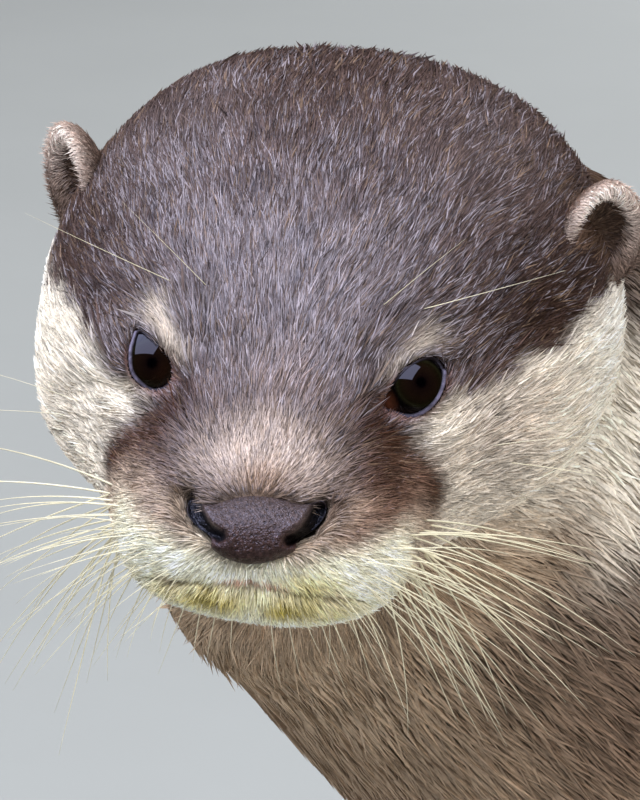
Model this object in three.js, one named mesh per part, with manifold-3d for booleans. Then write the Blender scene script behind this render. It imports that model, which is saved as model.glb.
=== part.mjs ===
import * as THREE from "three";
import { mergeVertices } from "three/addons/utils/BufferGeometryUtils.js";
import Module from "manifold-3d";

// A life-size Asian small-clawed otter, standing on all four feet, with its neck raised and its face
// turned to its own left. Millimetres, +Z up. The trunk lies along Y, the animal faces -Y and its
// soles are flat on z = 0. Every outline is that of the coat's tips.

const wasm = await Module();
wasm.setup();

const cut = 0.3; // the gap left wherever two pieces meet
const deg = Math.PI / 180;

const eyesAt = new THREE.Vector3(38, -156, 232); // the middle point between the two eyes
const faceTurn = 50 * deg; // the line of sight, turned to the animal's left of its trunk
const gazeRise = 14 * deg; // and raised above the floor's plane
const nosePitch = 17 * deg; // the muzzle points this much below level
const noseYaw = -6 * deg; // and this much to the right of the line of sight
const headRoll = -4.6 * deg; // the head is tipped to its left, about the line of sight

const eye = { x: 19.5, y: 4.2, z: -2.8, radius: 6.2 };
const nose = { y: -27.8, z: -12.2, halfWide: 10.8, halfHigh: 5.3, halfDeep: 5.4 };
const ear = { x: 41.5, y: 47, z: 5, halfWide: 8.4, halfHigh: 9.8, halfThick: 3 };
const fullSide = 2.5; // the back of the head stands this much to the side that the neck bends to
const mouth = { y: -26, z: -22, slope: 20 * deg, back: 12 }; // where the lips meet at the front

// The head's sections from the nose's tip to the nape, in the head's own frame, whose origin is
// between the eyes: how far back, half width, height of the widest place, top, bottom.
const headSections = [
  [-31.5, 0, -16, -16, -16],
  [-30, 9, -17, -9.5, -25],
  [-25.5, 17.5, -19, -7, -31],
  [-18, 23.5, -20, -4, -34.5],
  [-9, 27, -19, 1, -36],
  [0, 31.5, -19, 6.5, -36.5],
  [10, 39, -19, 12.5, -37],
  [22, 45.5, -18, 18, -38],
  [36, 48.5, -15, 22.8, -39],
  [50, 47.5, -11, 25, -38],
  [64, 42, -7, 24.2, -35],
  [76, 33, -3, 18, -29],
  [84, 19, 2, 10, -15],
  [87, 0, 3, 3, 3],
];

// Rises and hollows on the head: centre, reach, and how far the surface moves out there.
const headForms = [
  { at: [22.5, -2, 1.5], reach: 6.5, out: -3.2 }, // eye socket
  { at: [17, 1, 9], reach: 6, out: 1.8 }, // brow
  { at: [16, -21, -22], reach: 9, out: 2.2 }, // whisker pad
  { at: [33, 14, -16], reach: 11, out: 1.5 }, // cheek
];

// The trunk from inside the head to the tail's tip: centre, half width, half height up and down.
const trunkSections = [
  [[2, -131, 238], 18, 20, 20],
  [[-5, -114, 225], 42, 47, 45],
  [[-1, -84, 196], 50, 55, 54],
  [[2, -51, 165], 54, 55, 56],
  [[2, -20, 143], 56, 53, 56],
  [[1, 14, 126], 57, 51, 56],
  [[0, 60, 113], 56, 49, 56],
  [[0, 115, 115], 55, 50, 55],
  [[0, 168, 119], 56, 50, 55],
  [[0, 220, 116], 55, 50, 52],
  [[0, 262, 104], 44, 44, 44],
  [[2, 297, 86], 29, 29, 28],
  [[7, 345, 60], 21, 20, 19],
  [[18, 400, 37], 16.5, 15, 15],
  [[36, 455, 21], 12.5, 11, 12],
  [[60, 503, 12.5], 8.5, 7.5, 9],
  [[88, 540, 7], 4.5, 4, 6],
  [[99, 550, 5.5], 0.6, 0.6, 0.6],
];

// A length of the trunk: its name, first and last station, sides and rings.
const trunkLengths = [
  { name: "neck", from: 0, to: 4.4, sides: 22, rings: 9 },
  { name: "chest", from: 4.4, to: 7, sides: 22, rings: 5 },
  { name: "loin", from: 7, to: 10.4, sides: 22, rings: 7 },
  { name: "tail_root", from: 10.4, to: 12.6, sides: 14, rings: 5 },
  { name: "tail_middle", from: 12.6, to: 14.6, sides: 12, rings: 4 },
  { name: "tail_tip", from: 14.6, to: 17, sides: 10, rings: 5 },
];

// Each leg from inside the trunk to the ankle: centre, half width, half depth fore and aft. The foot's
// stations run forward from behind the heel, which is its origin.
const frontLeg = {
  stations: [
    [[30, 8, 110], 25, 32],
    [[38, 14, 88], 21.5, 28],
    [[43, 20, 66], 17.5, 22],
    [[45, 10, 45], 14, 16.5],
    [[45, -1, 26], 11.5, 12.5],
    [[45, -8, 10], 10.5, 9.5],
  ],
  parts: ["upper_arm", "forearm"],
  parting: 2.1,
  heel: [45, -5],
  foot: [
    [[0, 9, 8.5], 5, 5],
    [[0, 2, 8.8], 11, 10],
    [[0, -14, 7.8], 13, 9],
    [[0, -29, 5.3], 15, 6.5],
    [[0, -38, 3.2], 12, 3.4],
  ],
  toe: 14,
};
const hindLeg = {
  stations: [
    [[28, 226, 108], 28, 42],
    [[40, 214, 84], 25.5, 37],
    [[48, 203, 62], 20, 27],
    [[51, 217, 43], 15, 18],
    [[51, 237, 27], 11.5, 13],
    [[51, 243, 11], 10, 10],
  ],
  parts: ["thigh", "shank"],
  parting: 2.2,
  heel: [51, 246],
  foot: [
    [[0, 8, 9], 5, 5],
    [[0, 1, 9.3], 10.5, 10.5],
    [[0, -18, 7.8], 12.5, 9],
    [[0, -38, 6], 15.5, 7.2],
    [[0, -57, 3.2], 12.5, 3.4],
  ],
  toe: 18,
};

// Each foot's place: the side it is on and how far forward it has stepped.
const legs = [
  { name: "front_left", plan: frontLeg, side: 1, step: 10 },
  { name: "front_right", plan: frontLeg, side: -1, step: -8 },
  { name: "hind_left", plan: hindLeg, side: 1, step: -8 },
  { name: "hind_right", plan: hindLeg, side: -1, step: 12 },
];
const toes = { count: 5, radius: 4.1, apart: 6.3, fan: 14 * deg };

const coat = { crown: 0x5a4b47, side: 0x8a7566, pale: 0xcfc3b6 };
const finishes = {
  coat_dark: { color: coat.crown, roughness: 0.75 },
  coat_mid: { color: coat.side, roughness: 0.78 },
  coat_pale: { color: coat.pale, roughness: 0.8 },
  nose_leather: { color: 0x4a3d40, roughness: 0.45 },
  eye_glass: { color: 0x1c120e, roughness: 0.05 },
};

// The value that a list of control numbers has at a place between them, on a smooth curve.
function smoothAt(list, place) {
  const i = Math.min(Math.floor(place), list.length - 2);
  const f = place - i;
  const [a, b] = [list[i], list[i + 1]];
  const [before, after] = [list[i - 1] ?? 2 * a - b, list[i + 2] ?? 2 * b - a];
  const [slopeA, slopeB] = [(b - before) / 2, (after - a) / 2];
  const f2 = f * f;
  const f3 = f2 * f;
  return a * (2 * f3 - 3 * f2 + 1) + slopeA * (f3 - 2 * f2 + f) + b * (3 * f2 - 2 * f3) + slopeB * (f3 - f2);
}

const column = (table, index) => table.map((row) => row[index]);

// A closed three.js shape with every vertex moved to the place that a function gives it.
function reshaped(geometry, place) {
  geometry.deleteAttribute("normal");
  geometry.deleteAttribute("uv");
  const merged = mergeVertices(geometry);
  const position = merged.getAttribute("position");
  const point = new THREE.Vector3();
  for (let i = 0; i < position.count; i++) {
    const moved = place(point.fromBufferAttribute(position, i));
    position.setXYZ(i, moved.x, moved.y, moved.z);
  }
  return merged;
}

function solidOf(geometry) {
  const merged = mergeVertices(geometry, 1e-4);
  return new wasm.Manifold(
    new wasm.Mesh({
      numProp: 3,
      vertProperties: merged.getAttribute("position").array,
      triVerts: new Uint32Array(merged.index.array),
    }),
  );
}

function namedMesh(name, solid, finish) {
  const cutMesh = solid.getMesh();
  const geometry = new THREE.BufferGeometry();
  geometry.setAttribute("position", new THREE.BufferAttribute(cutMesh.vertProperties, 3));
  geometry.setIndex(new THREE.BufferAttribute(cutMesh.triVerts, 1));
  geometry.computeVertexNormals();
  const mesh = new THREE.Mesh(geometry, new THREE.MeshStandardMaterial(finishes[finish]));
  mesh.name = name;
  return mesh;
}

const pathAt = (stations, s) =>
  new THREE.Vector3(...[0, 1, 2].map((axis) => smoothAt(stations.map(([centre]) => centre[axis]), s)));

function headingAt(stations, s) {
  const [before, after] = [Math.max(s - 0.05, 0), Math.min(s + 0.05, stations.length - 1)];
  return pathAt(stations, after).sub(pathAt(stations, before)).normalize();
}

// A tube along a run of stations. A station is a centre, a half width, a half height up and,
// where it differs, a half height down. The tube has flat ends, and grow swells it.
function tube({ stations, from, to, sides, rings, grow = 0 }) {
  const sizes = [1, 2, 3].map((i) => stations.map((row) => row[i] ?? row[2]));
  return reshaped(new THREE.CylinderGeometry(1, 1, 1, sides, rings), (v) => {
    const s = from + (v.y + 0.5) * (to - from);
    const ahead = headingAt(stations, s);
    const side = new THREE.Vector3(1, 0, 0).projectOnPlane(ahead).normalize();
    const up = new THREE.Vector3().crossVectors(side, ahead);
    const [wide, high, low] = sizes.map((list) => smoothAt(list, s) + grow);
    return pathAt(stations, s)
      .addScaledVector(side, v.x * wide)
      .addScaledVector(up, v.z * (v.z > 0 ? high : low));
  });
}

// One length of a tube, cut square across its path at both ends, half a gap short of each.
function lengthOf({ stations, from, to, ...shape }) {
  const [spare, last] = [0.12, stations.length - 1];
  const [start, end] = [Math.max(from - spare, 0), Math.min(to + spare, last)];
  let solid = solidOf(tube({ stations, from: start, to: end, ...shape }));
  for (const [place, turn] of [[from, 1], [to, -1]]) {
    if (place === start || place === end) continue;
    const normal = headingAt(stations, place).multiplyScalar(turn);
    solid = solid.trimByPlane(normal.toArray(), normal.dot(pathAt(stations, place)) + cut / 2);
  }
  return solid;
}

// The head's own frame carried to its place on the body.
const gaze = new THREE.Vector3(0, -Math.cos(gazeRise), Math.sin(gazeRise));
const headPlace = new THREE.Matrix4()
  .makeTranslation(eyesAt)
  .multiply(new THREE.Matrix4().makeRotationZ(faceTurn))
  .multiply(new THREE.Matrix4().makeRotationAxis(gaze, headRoll))
  .multiply(new THREE.Matrix4().makeRotationZ(noseYaw))
  .multiply(new THREE.Matrix4().makeRotationX(nosePitch));

// A rounded square: 2 is an ellipse, and more fills the corners.
const superellipse = (x, fullness) => Math.sign(x) * Math.abs(x) ** (2 / fullness);

function headShape({ sides = 36, rings = 26, grow = 0 } = {}) {
  const [backs, halves, levels, tops, bottoms] = [0, 1, 2, 3, 4].map((i) => column(headSections, i));
  return reshaped(new THREE.SphereGeometry(1, sides, rings), (v) => {
    const share = Math.acos(THREE.MathUtils.clamp(-v.y, -1, 1)) / Math.PI;
    const s = share * (headSections.length - 1);
    const radial = Math.hypot(v.x, v.z) || 1;
    const [across, height] = [v.x / radial, v.z / radial];
    const level = smoothAt(levels, s);
    const reach = height > 0 ? smoothAt(tops, s) - level : level - smoothAt(bottoms, s);
    const atPole = share < 1e-6 || share > 1 - 1e-6;
    const point = new THREE.Vector3(
      atPole ? 0 : Math.max(smoothAt(halves, s), 0.01) * superellipse(across, 2.25),
      smoothAt(backs, s),
      level + (atPole ? 0 : reach * superellipse(height, 2.15)),
    );
    const inner = new THREE.Vector3(0, THREE.MathUtils.clamp(point.y, 8, 52), -8);
    const outward = point.clone().sub(inner).normalize();
    let out = grow;
    for (const form of headForms) {
      const away = Math.hypot(Math.abs(point.x) - form.at[0], point.y - form.at[1], point.z - form.at[2]);
      out += form.out * Math.exp(-((away / form.reach) ** 2));
    }
    point.addScaledVector(outward, out);
    point.x += fullSide * THREE.MathUtils.smoothstep(point.y, -4, 40);
    return point;
  });
}

function eyeball(side, grow = 0) {
  const ball = new THREE.SphereGeometry(eye.radius + grow, 12, 8);
  return reshaped(ball, (v) => v.add(new THREE.Vector3(side * eye.x, eye.y, eye.z)));
}

// The bare nose: broad above, narrow below, and flattened in front.
function nosePad(grow = 0) {
  return reshaped(new THREE.SphereGeometry(1, 16, 8), (v) => {
    const taper = v.z > 0 ? 1 : 1 - 0.42 * v.z * v.z;
    return new THREE.Vector3(
      v.x * taper * (nose.halfWide + grow),
      nose.y + v.y * (nose.halfDeep + grow) + 0.1 * v.z,
      nose.z + v.z * (nose.halfHigh + grow),
    );
  });
}

// A slit that runs from low inside to high outside of the nose.
function nostril(side) {
  const slit = reshaped(new THREE.SphereGeometry(1, 6, 5), (v) => v.multiply(new THREE.Vector3(1.5, 4, 3.6)));
  slit.rotateY(side * 38 * deg);
  return slit.translate(side * 8.6, nose.y - 4, nose.z - 0.6);
}

// A cupped, rounded ear that looks forward and outward.
function earShape(side) {
  const cup = reshaped(new THREE.SphereGeometry(1, 12, 8), (v) => {
    const rim = v.x * v.x + v.z * v.z;
    const hollow = v.y < 0 ? 4.2 * (1 - rim) * (1 - rim) : 0;
    const lean = 2.4 * rim;
    return new THREE.Vector3(v.x * ear.halfWide, v.y * ear.halfThick + hollow - lean, v.z * ear.halfHigh);
  });
  cup.rotateY(side * 16 * deg);
  cup.rotateZ(side * 40 * deg);
  return cup.translate(side * ear.x + fullSide, ear.y, ear.z);
}

// A block under the mouth's line. What it shares with the head is the lower jaw.
function jawBlock(grow = 0) {
  const block = new THREE.BoxGeometry(70, 60, 40 + 2 * grow).translate(0, 30, -20);
  block.deleteAttribute("normal");
  block.deleteAttribute("uv");
  block.rotateX(-mouth.slope);
  return block.translate(0, mouth.y - 20, mouth.z + 7);
}

// A block behind the jaw's end, taken off the jaw and left on the head.
function behindJaw(grow = 0) {
  const block = new THREE.BoxGeometry(120, 100, 120).translate(0, mouth.back + 50 - grow, -40);
  block.deleteAttribute("normal");
  block.deleteAttribute("uv");
  return block;
}

const inHeadPlace = (geometry) => solidOf(geometry.applyMatrix4(headPlace));

function buildHead() {
  const eyes = [1, -1].map((side) => inHeadPlace(eyeball(side)));
  const pad = inHeadPlace(nosePad()).subtract(inHeadPlace(nostril(1))).subtract(inHeadPlace(nostril(-1)));
  let skull = inHeadPlace(headShape());
  for (const side of [1, -1]) skull = skull.subtract(inHeadPlace(eyeball(side, cut)));
  skull = skull.subtract(inHeadPlace(nosePad(cut)));
  const jawOnly = inHeadPlace(jawBlock(-cut / 2)).subtract(inHeadPlace(behindJaw(cut / 2)));
  const jawRoom = inHeadPlace(jawBlock(cut / 2)).subtract(inHeadPlace(behindJaw(-cut / 2)));
  const close = inHeadPlace(headShape({ grow: cut }));
  const ears = [1, -1].map((side) => inHeadPlace(earShape(side)).subtract(close));
  return {
    room: inHeadPlace(headShape({ sides: 24, rings: 18, grow: cut + 0.8 })),
    meshes: [
      namedMesh("head", skull.subtract(jawRoom), "coat_dark"),
      namedMesh("jaw", skull.intersect(jawOnly), "coat_pale"),
      namedMesh("nose", pad, "nose_leather"),
      namedMesh("eye_left", eyes[0], "eye_glass"),
      namedMesh("eye_right", eyes[1], "eye_glass"),
      namedMesh("ear_left", ears[0], "coat_mid"),
      namedMesh("ear_right", ears[1], "coat_mid"),
    ],
  };
}

function buildTrunk(headRoom) {
  return trunkLengths.map((length) => {
    const onFloor = lengthOf({ stations: trunkSections, ...length }).subtract(underFloor);
    return namedMesh(length.name, length.name === "neck" ? onFloor.subtract(headRoom) : onFloor, "coat_mid");
  });
}

const slab = new THREE.BoxGeometry(900, 1600, 100).translate(0, 200, -50);
slab.deleteAttribute("normal");
slab.deleteAttribute("uv");
const underFloor = solidOf(slab);

// A foot flat on the floor: a low tapering tube from heel to ball, and a fan of short toes.
function footShape({ foot, toe }, [x, y]) {
  const stations = foot.map(([centre, ...sizes]) => [[centre[0] + x, centre[1] + y, centre[2]], ...sizes]);
  const last = stations.length - 1;
  let solid = solidOf(tube({ stations, from: 0, to: last, sides: 10, rings: 5 }));
  const ball = stations[last][0][1] + 4;
  for (let i = 0; i < toes.count; i++) {
    const place = i - (toes.count - 1) / 2;
    const half = (toe * (1 - 0.06 * place * place)) / 2 + toes.radius;
    const one = reshaped(new THREE.SphereGeometry(1, 5, 4), (v) => {
      return new THREE.Vector3(v.x * toes.radius, superellipse(v.y, 2.6) * half, v.z * toes.radius);
    });
    one.translate(0, toes.radius - half, 0).rotateZ(place * toes.fan);
    one.translate(x + place * toes.apart, ball + 1.4 * place * place, toes.radius - 0.7);
    solid = solid.add(solidOf(one));
  }
  return solid;
}

function buildLeg({ name, plan, side, step }, trunkRoom) {
  const last = plan.stations.length - 1;
  const stations = plan.stations.map(([centre, ...sizes], i) => {
    const share = i / last; // the hip stays, and the foot takes the whole step
    return [[side * centre[0], centre[1] - step * share, centre[2]], ...sizes];
  });
  const foot = footShape(plan, [side * plan.heel[0], plan.heel[1] - step]);
  const ankle = last - 0.9;
  const limb = (from, to) => lengthOf({ stations, from, to, sides: 12, rings: 4 });
  const pieces = [limb(0, plan.parting).subtract(trunkRoom), limb(plan.parting, ankle).subtract(trunkRoom)];
  return [
    ...pieces.map((piece, i) => namedMesh(`${name}_${plan.parts[i]}`, piece, "coat_mid")),
    namedMesh(`${name}_foot`, foot.add(limb(ankle, last)).subtract(underFloor), "coat_mid"),
  ];
}

const otter = new THREE.Group();
const { meshes: headMeshes, room: headRoom } = buildHead();
otter.add(...headMeshes, ...buildTrunk(headRoom));
const trunkRoom = solidOf(
  tube({ stations: trunkSections, from: 3.5, to: 11.5, sides: 22, rings: 16, grow: cut + 0.6 }),
);
for (const leg of legs) otter.add(...buildLeg(leg, trunkRoom));

// The origin goes to the middle of the floor under the whole animal.
const extent = new THREE.Box3().setFromObject(otter);
const middle = extent.getCenter(new THREE.Vector3());
otter.position.set(-middle.x, -middle.y, 0);

export default otter;
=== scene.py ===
import math
from contextlib import contextmanager

import bmesh
import bpy
import numpy as np
from mathutils import Matrix, Vector
from mathutils.bvhtree import BVHTree


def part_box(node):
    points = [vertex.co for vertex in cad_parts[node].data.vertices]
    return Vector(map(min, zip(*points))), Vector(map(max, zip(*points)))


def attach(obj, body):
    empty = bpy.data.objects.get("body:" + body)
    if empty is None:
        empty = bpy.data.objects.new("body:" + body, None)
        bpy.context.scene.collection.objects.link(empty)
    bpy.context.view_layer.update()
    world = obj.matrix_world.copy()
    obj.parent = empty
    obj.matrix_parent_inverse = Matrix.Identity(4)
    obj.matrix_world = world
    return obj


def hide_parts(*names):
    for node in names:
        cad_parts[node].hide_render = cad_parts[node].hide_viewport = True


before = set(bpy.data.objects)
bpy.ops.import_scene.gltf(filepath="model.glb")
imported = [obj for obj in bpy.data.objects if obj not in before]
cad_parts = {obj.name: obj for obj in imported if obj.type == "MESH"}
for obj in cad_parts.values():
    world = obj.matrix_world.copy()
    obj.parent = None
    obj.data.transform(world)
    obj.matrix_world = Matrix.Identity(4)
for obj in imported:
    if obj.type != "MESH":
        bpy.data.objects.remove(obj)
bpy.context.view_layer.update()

# A life-size Asian small-clawed otter: its skin, coat, eyes, nose, whiskers and claws, made over the
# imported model. Lengths in the dictionaries are millimetres unless a note says otherwise.

mm = 0.001


# Plain helpers: arrays in, arrays out

def unit(v):  # v over its own length
    return v / np.maximum(np.linalg.norm(v, axis=-1, keepdims=True), 1e-12)


def smooth(x, low, high):  # 3t^2 - 2t^3, with t running from 0 at low to 1 at high
    t = np.clip((x - low) / (high - low), 0, 1)
    return t * t * (3 - 2 * t)


def mix(first, second, share):  # first (1 - share) + second share
    return first * (1 - share) + second * share


def mirrored(h):  # the same place on the head's left side: across without its sign
    return np.abs(h) * (1, 0, 0) + h * (0, 1, 1)


def blot(p, at, reach):  # e to the minus (distance over reach) squared
    return np.exp(-(((p - np.array(at)) / np.array(reach)) ** 2).sum(-1))


def streak(p, start, end, reach):  # e to the minus (distance from the line over reach) squared
    start, run = np.array(start), np.array(end) - start
    t = np.clip((p - start) @ run / (run @ run), 0, 1)
    return np.exp(-(np.linalg.norm(p - start - t[:, None] * run, axis=-1) / reach) ** 2)


def ripple(p, size, seed):  # the mean of seven sine waves of about that wavelength, from -1 to 1
    rng = np.random.default_rng(seed)
    waves = unit(rng.normal(size=(7, 3))) * 2 * np.pi / (size * rng.uniform(0.7, 1.4, (7, 1)))
    return np.sin(p @ waves.T + rng.uniform(0, 6.28, 7)).mean(-1) * 1.9


def tone(red, green, blue):  # a colour as seen on a screen, 0 to 255, turned to linear light
    return (np.array([red, green, blue]) / 255) ** 2.2


def boxMiddle(node):  # half of the low corner plus the high one
    low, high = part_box(node)
    return (np.array(low) + np.array(high)) / 2


# The head's own frame: x to its left, y back, z up, origin between the eyes

# Across runs from eye to eye. Up is turned by the tilt out of the plane of the eyes and the nose.
def headFrame(tilt=math.radians(16.44), eyeBack=4.2, eyeDown=2.8):
    left, right, nose = (boxMiddle(n) for n in ("eye_left", "eye_right", "nose"))
    between = (left + right) / 2
    x = unit(left - right)
    rise = between - nose
    rise = unit(rise - x * (rise @ x))
    side = np.cross(x, rise)
    z = math.cos(tilt) * side + math.sin(tilt) * rise
    y = math.cos(tilt) * rise - math.sin(tilt) * side
    return between - y * eyeBack * mm + z * eyeDown * mm, np.stack([x, y, z])


headAt, headAxes = headFrame()


def toHead(p):  # metres in the model's frame to millimetres in the head's
    return (p - headAt) @ headAxes.T / mm


def fromHead(h):  # and back again
    return headAt + (np.asarray(h) @ headAxes) * mm


# Camera: in front of the face, looking a little down on it

view = {
    "azimuth": 50, "elevation": 14, "distance": 1250, "high": 126.4,
    "aimAcross": 5.2, "aimDown": 4.1, "sensor": 36,
}


# Toward the viewer is (sin a cos e, -cos a cos e, sin e) for azimuth a and elevation e.
def placeCamera():
    azimuth, elevation = math.radians(view["azimuth"]), math.radians(view["elevation"])
    toward = np.array([math.sin(azimuth) * math.cos(elevation), -math.cos(azimuth) * math.cos(elevation),
                       math.sin(elevation)])
    across = np.array([math.cos(azimuth), math.sin(azimuth), 0])
    rise = np.cross(toward, across)
    between = (boxMiddle("eye_left") + boxMiddle("eye_right")) / 2
    aim = between + (across * view["aimAcross"] - rise * view["aimDown"]) * mm
    camera = bpy.data.objects.new("camera", bpy.data.cameras.new("camera"))
    bpy.context.scene.collection.objects.link(camera)
    camera.data.sensor_width = view["sensor"]
    camera.data.lens = view["sensor"] * view["distance"] / view["high"]
    camera.data.clip_start = 0.01
    camera.location = aim + toward * view["distance"] * mm
    camera.rotation_euler = Vector(toward).to_track_quat("Z", "Y").to_euler()
    bpy.context.scene.camera = camera
    return np.stack([across, rise, toward])


sightAxes = placeCamera()  # across, rise and toward the viewer, whom the otter looks at
sight = sightAxes @ headAxes.T  # the same three, in the head's frame
print("camera placed")


# Light and floor

# each lamp's way from the face is told by the viewer's across, rise and toward, its distance in metres
studio = {
    "sky": (0.97, 0.98, 1.0), "skyStrength": 0.33, "floor": tone(172, 174, 172),
    "key": {"way": (-0.42, 0.82, 0.55), "far": 1.45, "size": (2.0, 1.7),
            "power": 50, "tint": (0.89, 0.925, 1.0)},
    "front": {"way": (1.0, 0.1, 0.8), "far": 1.6, "size": (1.6, 1.6),
              "power": 16, "tint": (1.0, 0.97, 0.93)},
    "rim": {"way": (0.5, 0.45, -1.0), "far": 1.6, "size": (1.2, 1.2),
            "power": 9, "tint": (0.95, 0.97, 1.0)},
    # the window is only seen mirrored, in the eyes and on the hairs
    "window": {"way": (-0.36, 0.82, 0.55), "far": 1.44, "size": (1.9, 1.6),
               "power": 66, "tint": (0.6, 0.64, 1.0)},
}


# A panel with its lower edge level, turned to the face.
def softLight(name, way, far, size, power, tint):
    back = unit(np.array(way)) @ sightAxes
    across = unit(np.cross(sightAxes[1], back))
    light = bpy.data.lights.new(name, "AREA")
    light.shape = "RECTANGLE"
    light.size, light.size_y = size
    light.energy = power
    light.color = tint
    lamp = bpy.data.objects.new(name, light)
    turn = np.eye(4)
    turn[:3, :] = np.stack([across, np.cross(back, across), back, headAt + back * far], 1)
    lamp.matrix_world = Matrix(turn.tolist())
    lamp.visible_glossy = name == "window"
    lamp.visible_diffuse = name != "window"
    bpy.context.scene.collection.objects.link(lamp)


# Three lamps light the surfaces and one more is only mirrored; the sky is even.
def lightStudio():
    world = bpy.data.worlds.new("studio")
    bpy.context.scene.world = world
    world.use_nodes = True
    sky = world.node_tree.nodes["Background"]
    sky.inputs["Color"].default_value = (*studio["sky"], 1)
    sky.inputs["Strength"].default_value = studio["skyStrength"]
    world.cycles_visibility.glossy = False  # only the window shows in the eyes
    for name in ("key", "front", "rim", "window"):
        softLight(name, **studio[name])
    bpy.context.scene.view_settings.view_transform = "Standard"


# The markings' colours, the same for skin and coat

colours = {
    # foreheadSheen is the forehead's brown made greyer and lighter by a painted sheen of the sky
    "crown": tone(78, 62, 56), "foreheadSheen": tone(104, 91, 90), "temple": tone(52, 37, 29),
    "cheek": tone(218, 208, 194), "white": tone(253, 250, 245), "patch": tone(64, 41, 28),
    "bridge": tone(182, 164, 153), "spot": tone(146, 116, 90), "muzzle": tone(194, 174, 156),
    "lip": tone(255, 250, 228), "chin": tone(186, 166, 60), "brow": tone(218, 204, 190),
    "neck": tone(130, 106, 88), "back": tone(86, 68, 58), "flank": tone(100, 80, 67),
    "belly": tone(184, 162, 136), "throat": tone(182, 158, 132), "foot": tone(110, 90, 76),
    "sole": tone(84, 66, 60),
    # rim is the ears' pale fur, and its lighter top a painted highlight
    "rim": tone(238, 220, 210), "earBack": tone(146, 124, 112), "earInside": tone(128, 106, 92),
    # hollow is the ears' inner brown deepened by painted shade
    "hollow": tone(100, 80, 68),
    "mouth": tone(190, 110, 92), "between": tone(142, 124, 120), "brown": tone(138, 108, 92),
    "stain": tone(222, 206, 130), "lidSkin": tone(132, 98, 92),
    # slit is the near-black painted shade inside the nostrils
    "nostril": tone(34, 31, 37), "slit": tone(9, 7, 7),
    # padTopSheen is the leather's brown made lighter and greyer by painted sheen from above
    "padTopSheen": tone(72, 60, 58), "padLow": tone(64, 47, 44),
    # silverSheen is a painted sheen: the sky's lilac-grey laid on dark hairs
    "collar": tone(240, 230, 214), "silverSheen": tone(158, 152, 162), "golden": tone(142, 118, 96),
    # wetRimReflection is a painted reflection of the sky on the wet lower lid
    "lash": tone(24, 17, 15), "wetRimReflection": tone(106, 100, 122), "caruncle": tone(108, 64, 46),
}


# Materials

# A material with a few short words for its nodes.
class Shader:
    def __init__(self, name, roughness=0.5, **sockets):
        self.material = bpy.data.materials.new(name)
        self.material.use_nodes = True
        self.tree = self.material.node_tree
        self.surface = self.tree.nodes["Principled BSDF"]
        self.surface.inputs["Roughness"].default_value = roughness
        for socket, value in sockets.items():
            self.surface.inputs[socket.replace("_", " ")].default_value = value

    def node(self, kind, **settings):
        made = self.tree.nodes.new(kind)
        for key, value in settings.items():
            setattr(made, key, value)
        return made

    def link(self, source, target):
        self.tree.links.new(source, target)

    def noise(self, scale, detail=3, roughness=0.55, stretch=(1, 1, 1)):
        place = self.node("ShaderNodeTexCoord")
        fit = self.node("ShaderNodeMapping")
        fit.inputs["Scale"].default_value = stretch
        made = self.node("ShaderNodeTexNoise")
        made.inputs["Scale"].default_value = scale
        made.inputs["Detail"].default_value = detail
        made.inputs["Roughness"].default_value = roughness
        self.link(place.outputs["Object"], fit.inputs["Vector"])
        self.link(fit.outputs["Vector"], made.inputs["Vector"])
        return made.outputs["Fac"]

    def spread(self, value, low, high):  # 0..1 to low..high
        made = self.node("ShaderNodeMapRange")
        made.inputs["From Min"].default_value = 0.25
        made.inputs["From Max"].default_value = 0.75
        made.inputs["To Min"].default_value = low
        made.inputs["To Max"].default_value = high
        self.link(value, made.inputs["Value"])
        return made.outputs["Result"]

    def times(self, colour, value):  # each channel of a colour times a number
        made = self.node("ShaderNodeVectorMath", operation="SCALE")
        self.link(colour, made.inputs[0])
        self.link(value, made.inputs["Scale"])
        return made.outputs["Vector"]

    def value(self, colour):
        made = self.node("ShaderNodeRGB")
        made.outputs[0].default_value = (*colour, 1)
        return made.outputs[0]

    def mixed(self, share, first, second):
        made = self.node("ShaderNodeMix", data_type="RGBA")
        self.link(share, made.inputs[0])
        self.link(first, made.inputs[6])
        self.link(second, made.inputs[7])
        return made.outputs[2]

    def attribute(self, name, output="Color"):
        return self.node("ShaderNodeAttribute", attribute_name=name).outputs[output]

    def ramp(self, value, stops):
        made = self.node("ShaderNodeValToRGB")
        steps = made.color_ramp.elements
        while len(steps) < len(stops):
            steps.new(0.5)
        for step, (place, colour) in zip(steps, stops):
            step.position = place
            step.color = (*colour, 1)
        self.link(value, made.inputs["Fac"])
        return made.outputs["Color"]

    def colour(self, source):
        self.link(source, self.surface.inputs["Base Color"])

    def marked(self, value, low, high):  # the piece's marking times a number from low to high
        self.colour(self.times(self.attribute("marking"), self.spread(value, low, high)))

    def rough(self, value):
        self.link(value, self.surface.inputs["Roughness"])

    def bump(self, height, distance, strength=1.0):
        made = self.node("ShaderNodeBump")
        made.inputs["Distance"].default_value = distance
        made.inputs["Strength"].default_value = strength
        self.link(height, made.inputs["Height"])
        self.link(made.outputs["Normal"], self.surface.inputs["Normal"])


def skinMaterial():
    shader = Shader("underfur", 0.85, Specular_IOR_Level=0.15)
    grain = shader.noise(900, 2)
    # the underfur is 0.6 to 0.95 times the marking: painted shade beneath the hairs
    shader.marked(grain, 0.6, 0.95)
    shader.bump(grain, 0.0006, 0.8)
    return shader.material


def coatMaterial():
    shader = Shader("guard hair", 0.5, Specular_IOR_Level=0.36)
    streak = shader.noise(1600, 1)
    shader.marked(streak, 0.84, 1.16)
    shader.rough(shader.spread(streak, 0.42, 0.6))
    return shader.material


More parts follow.
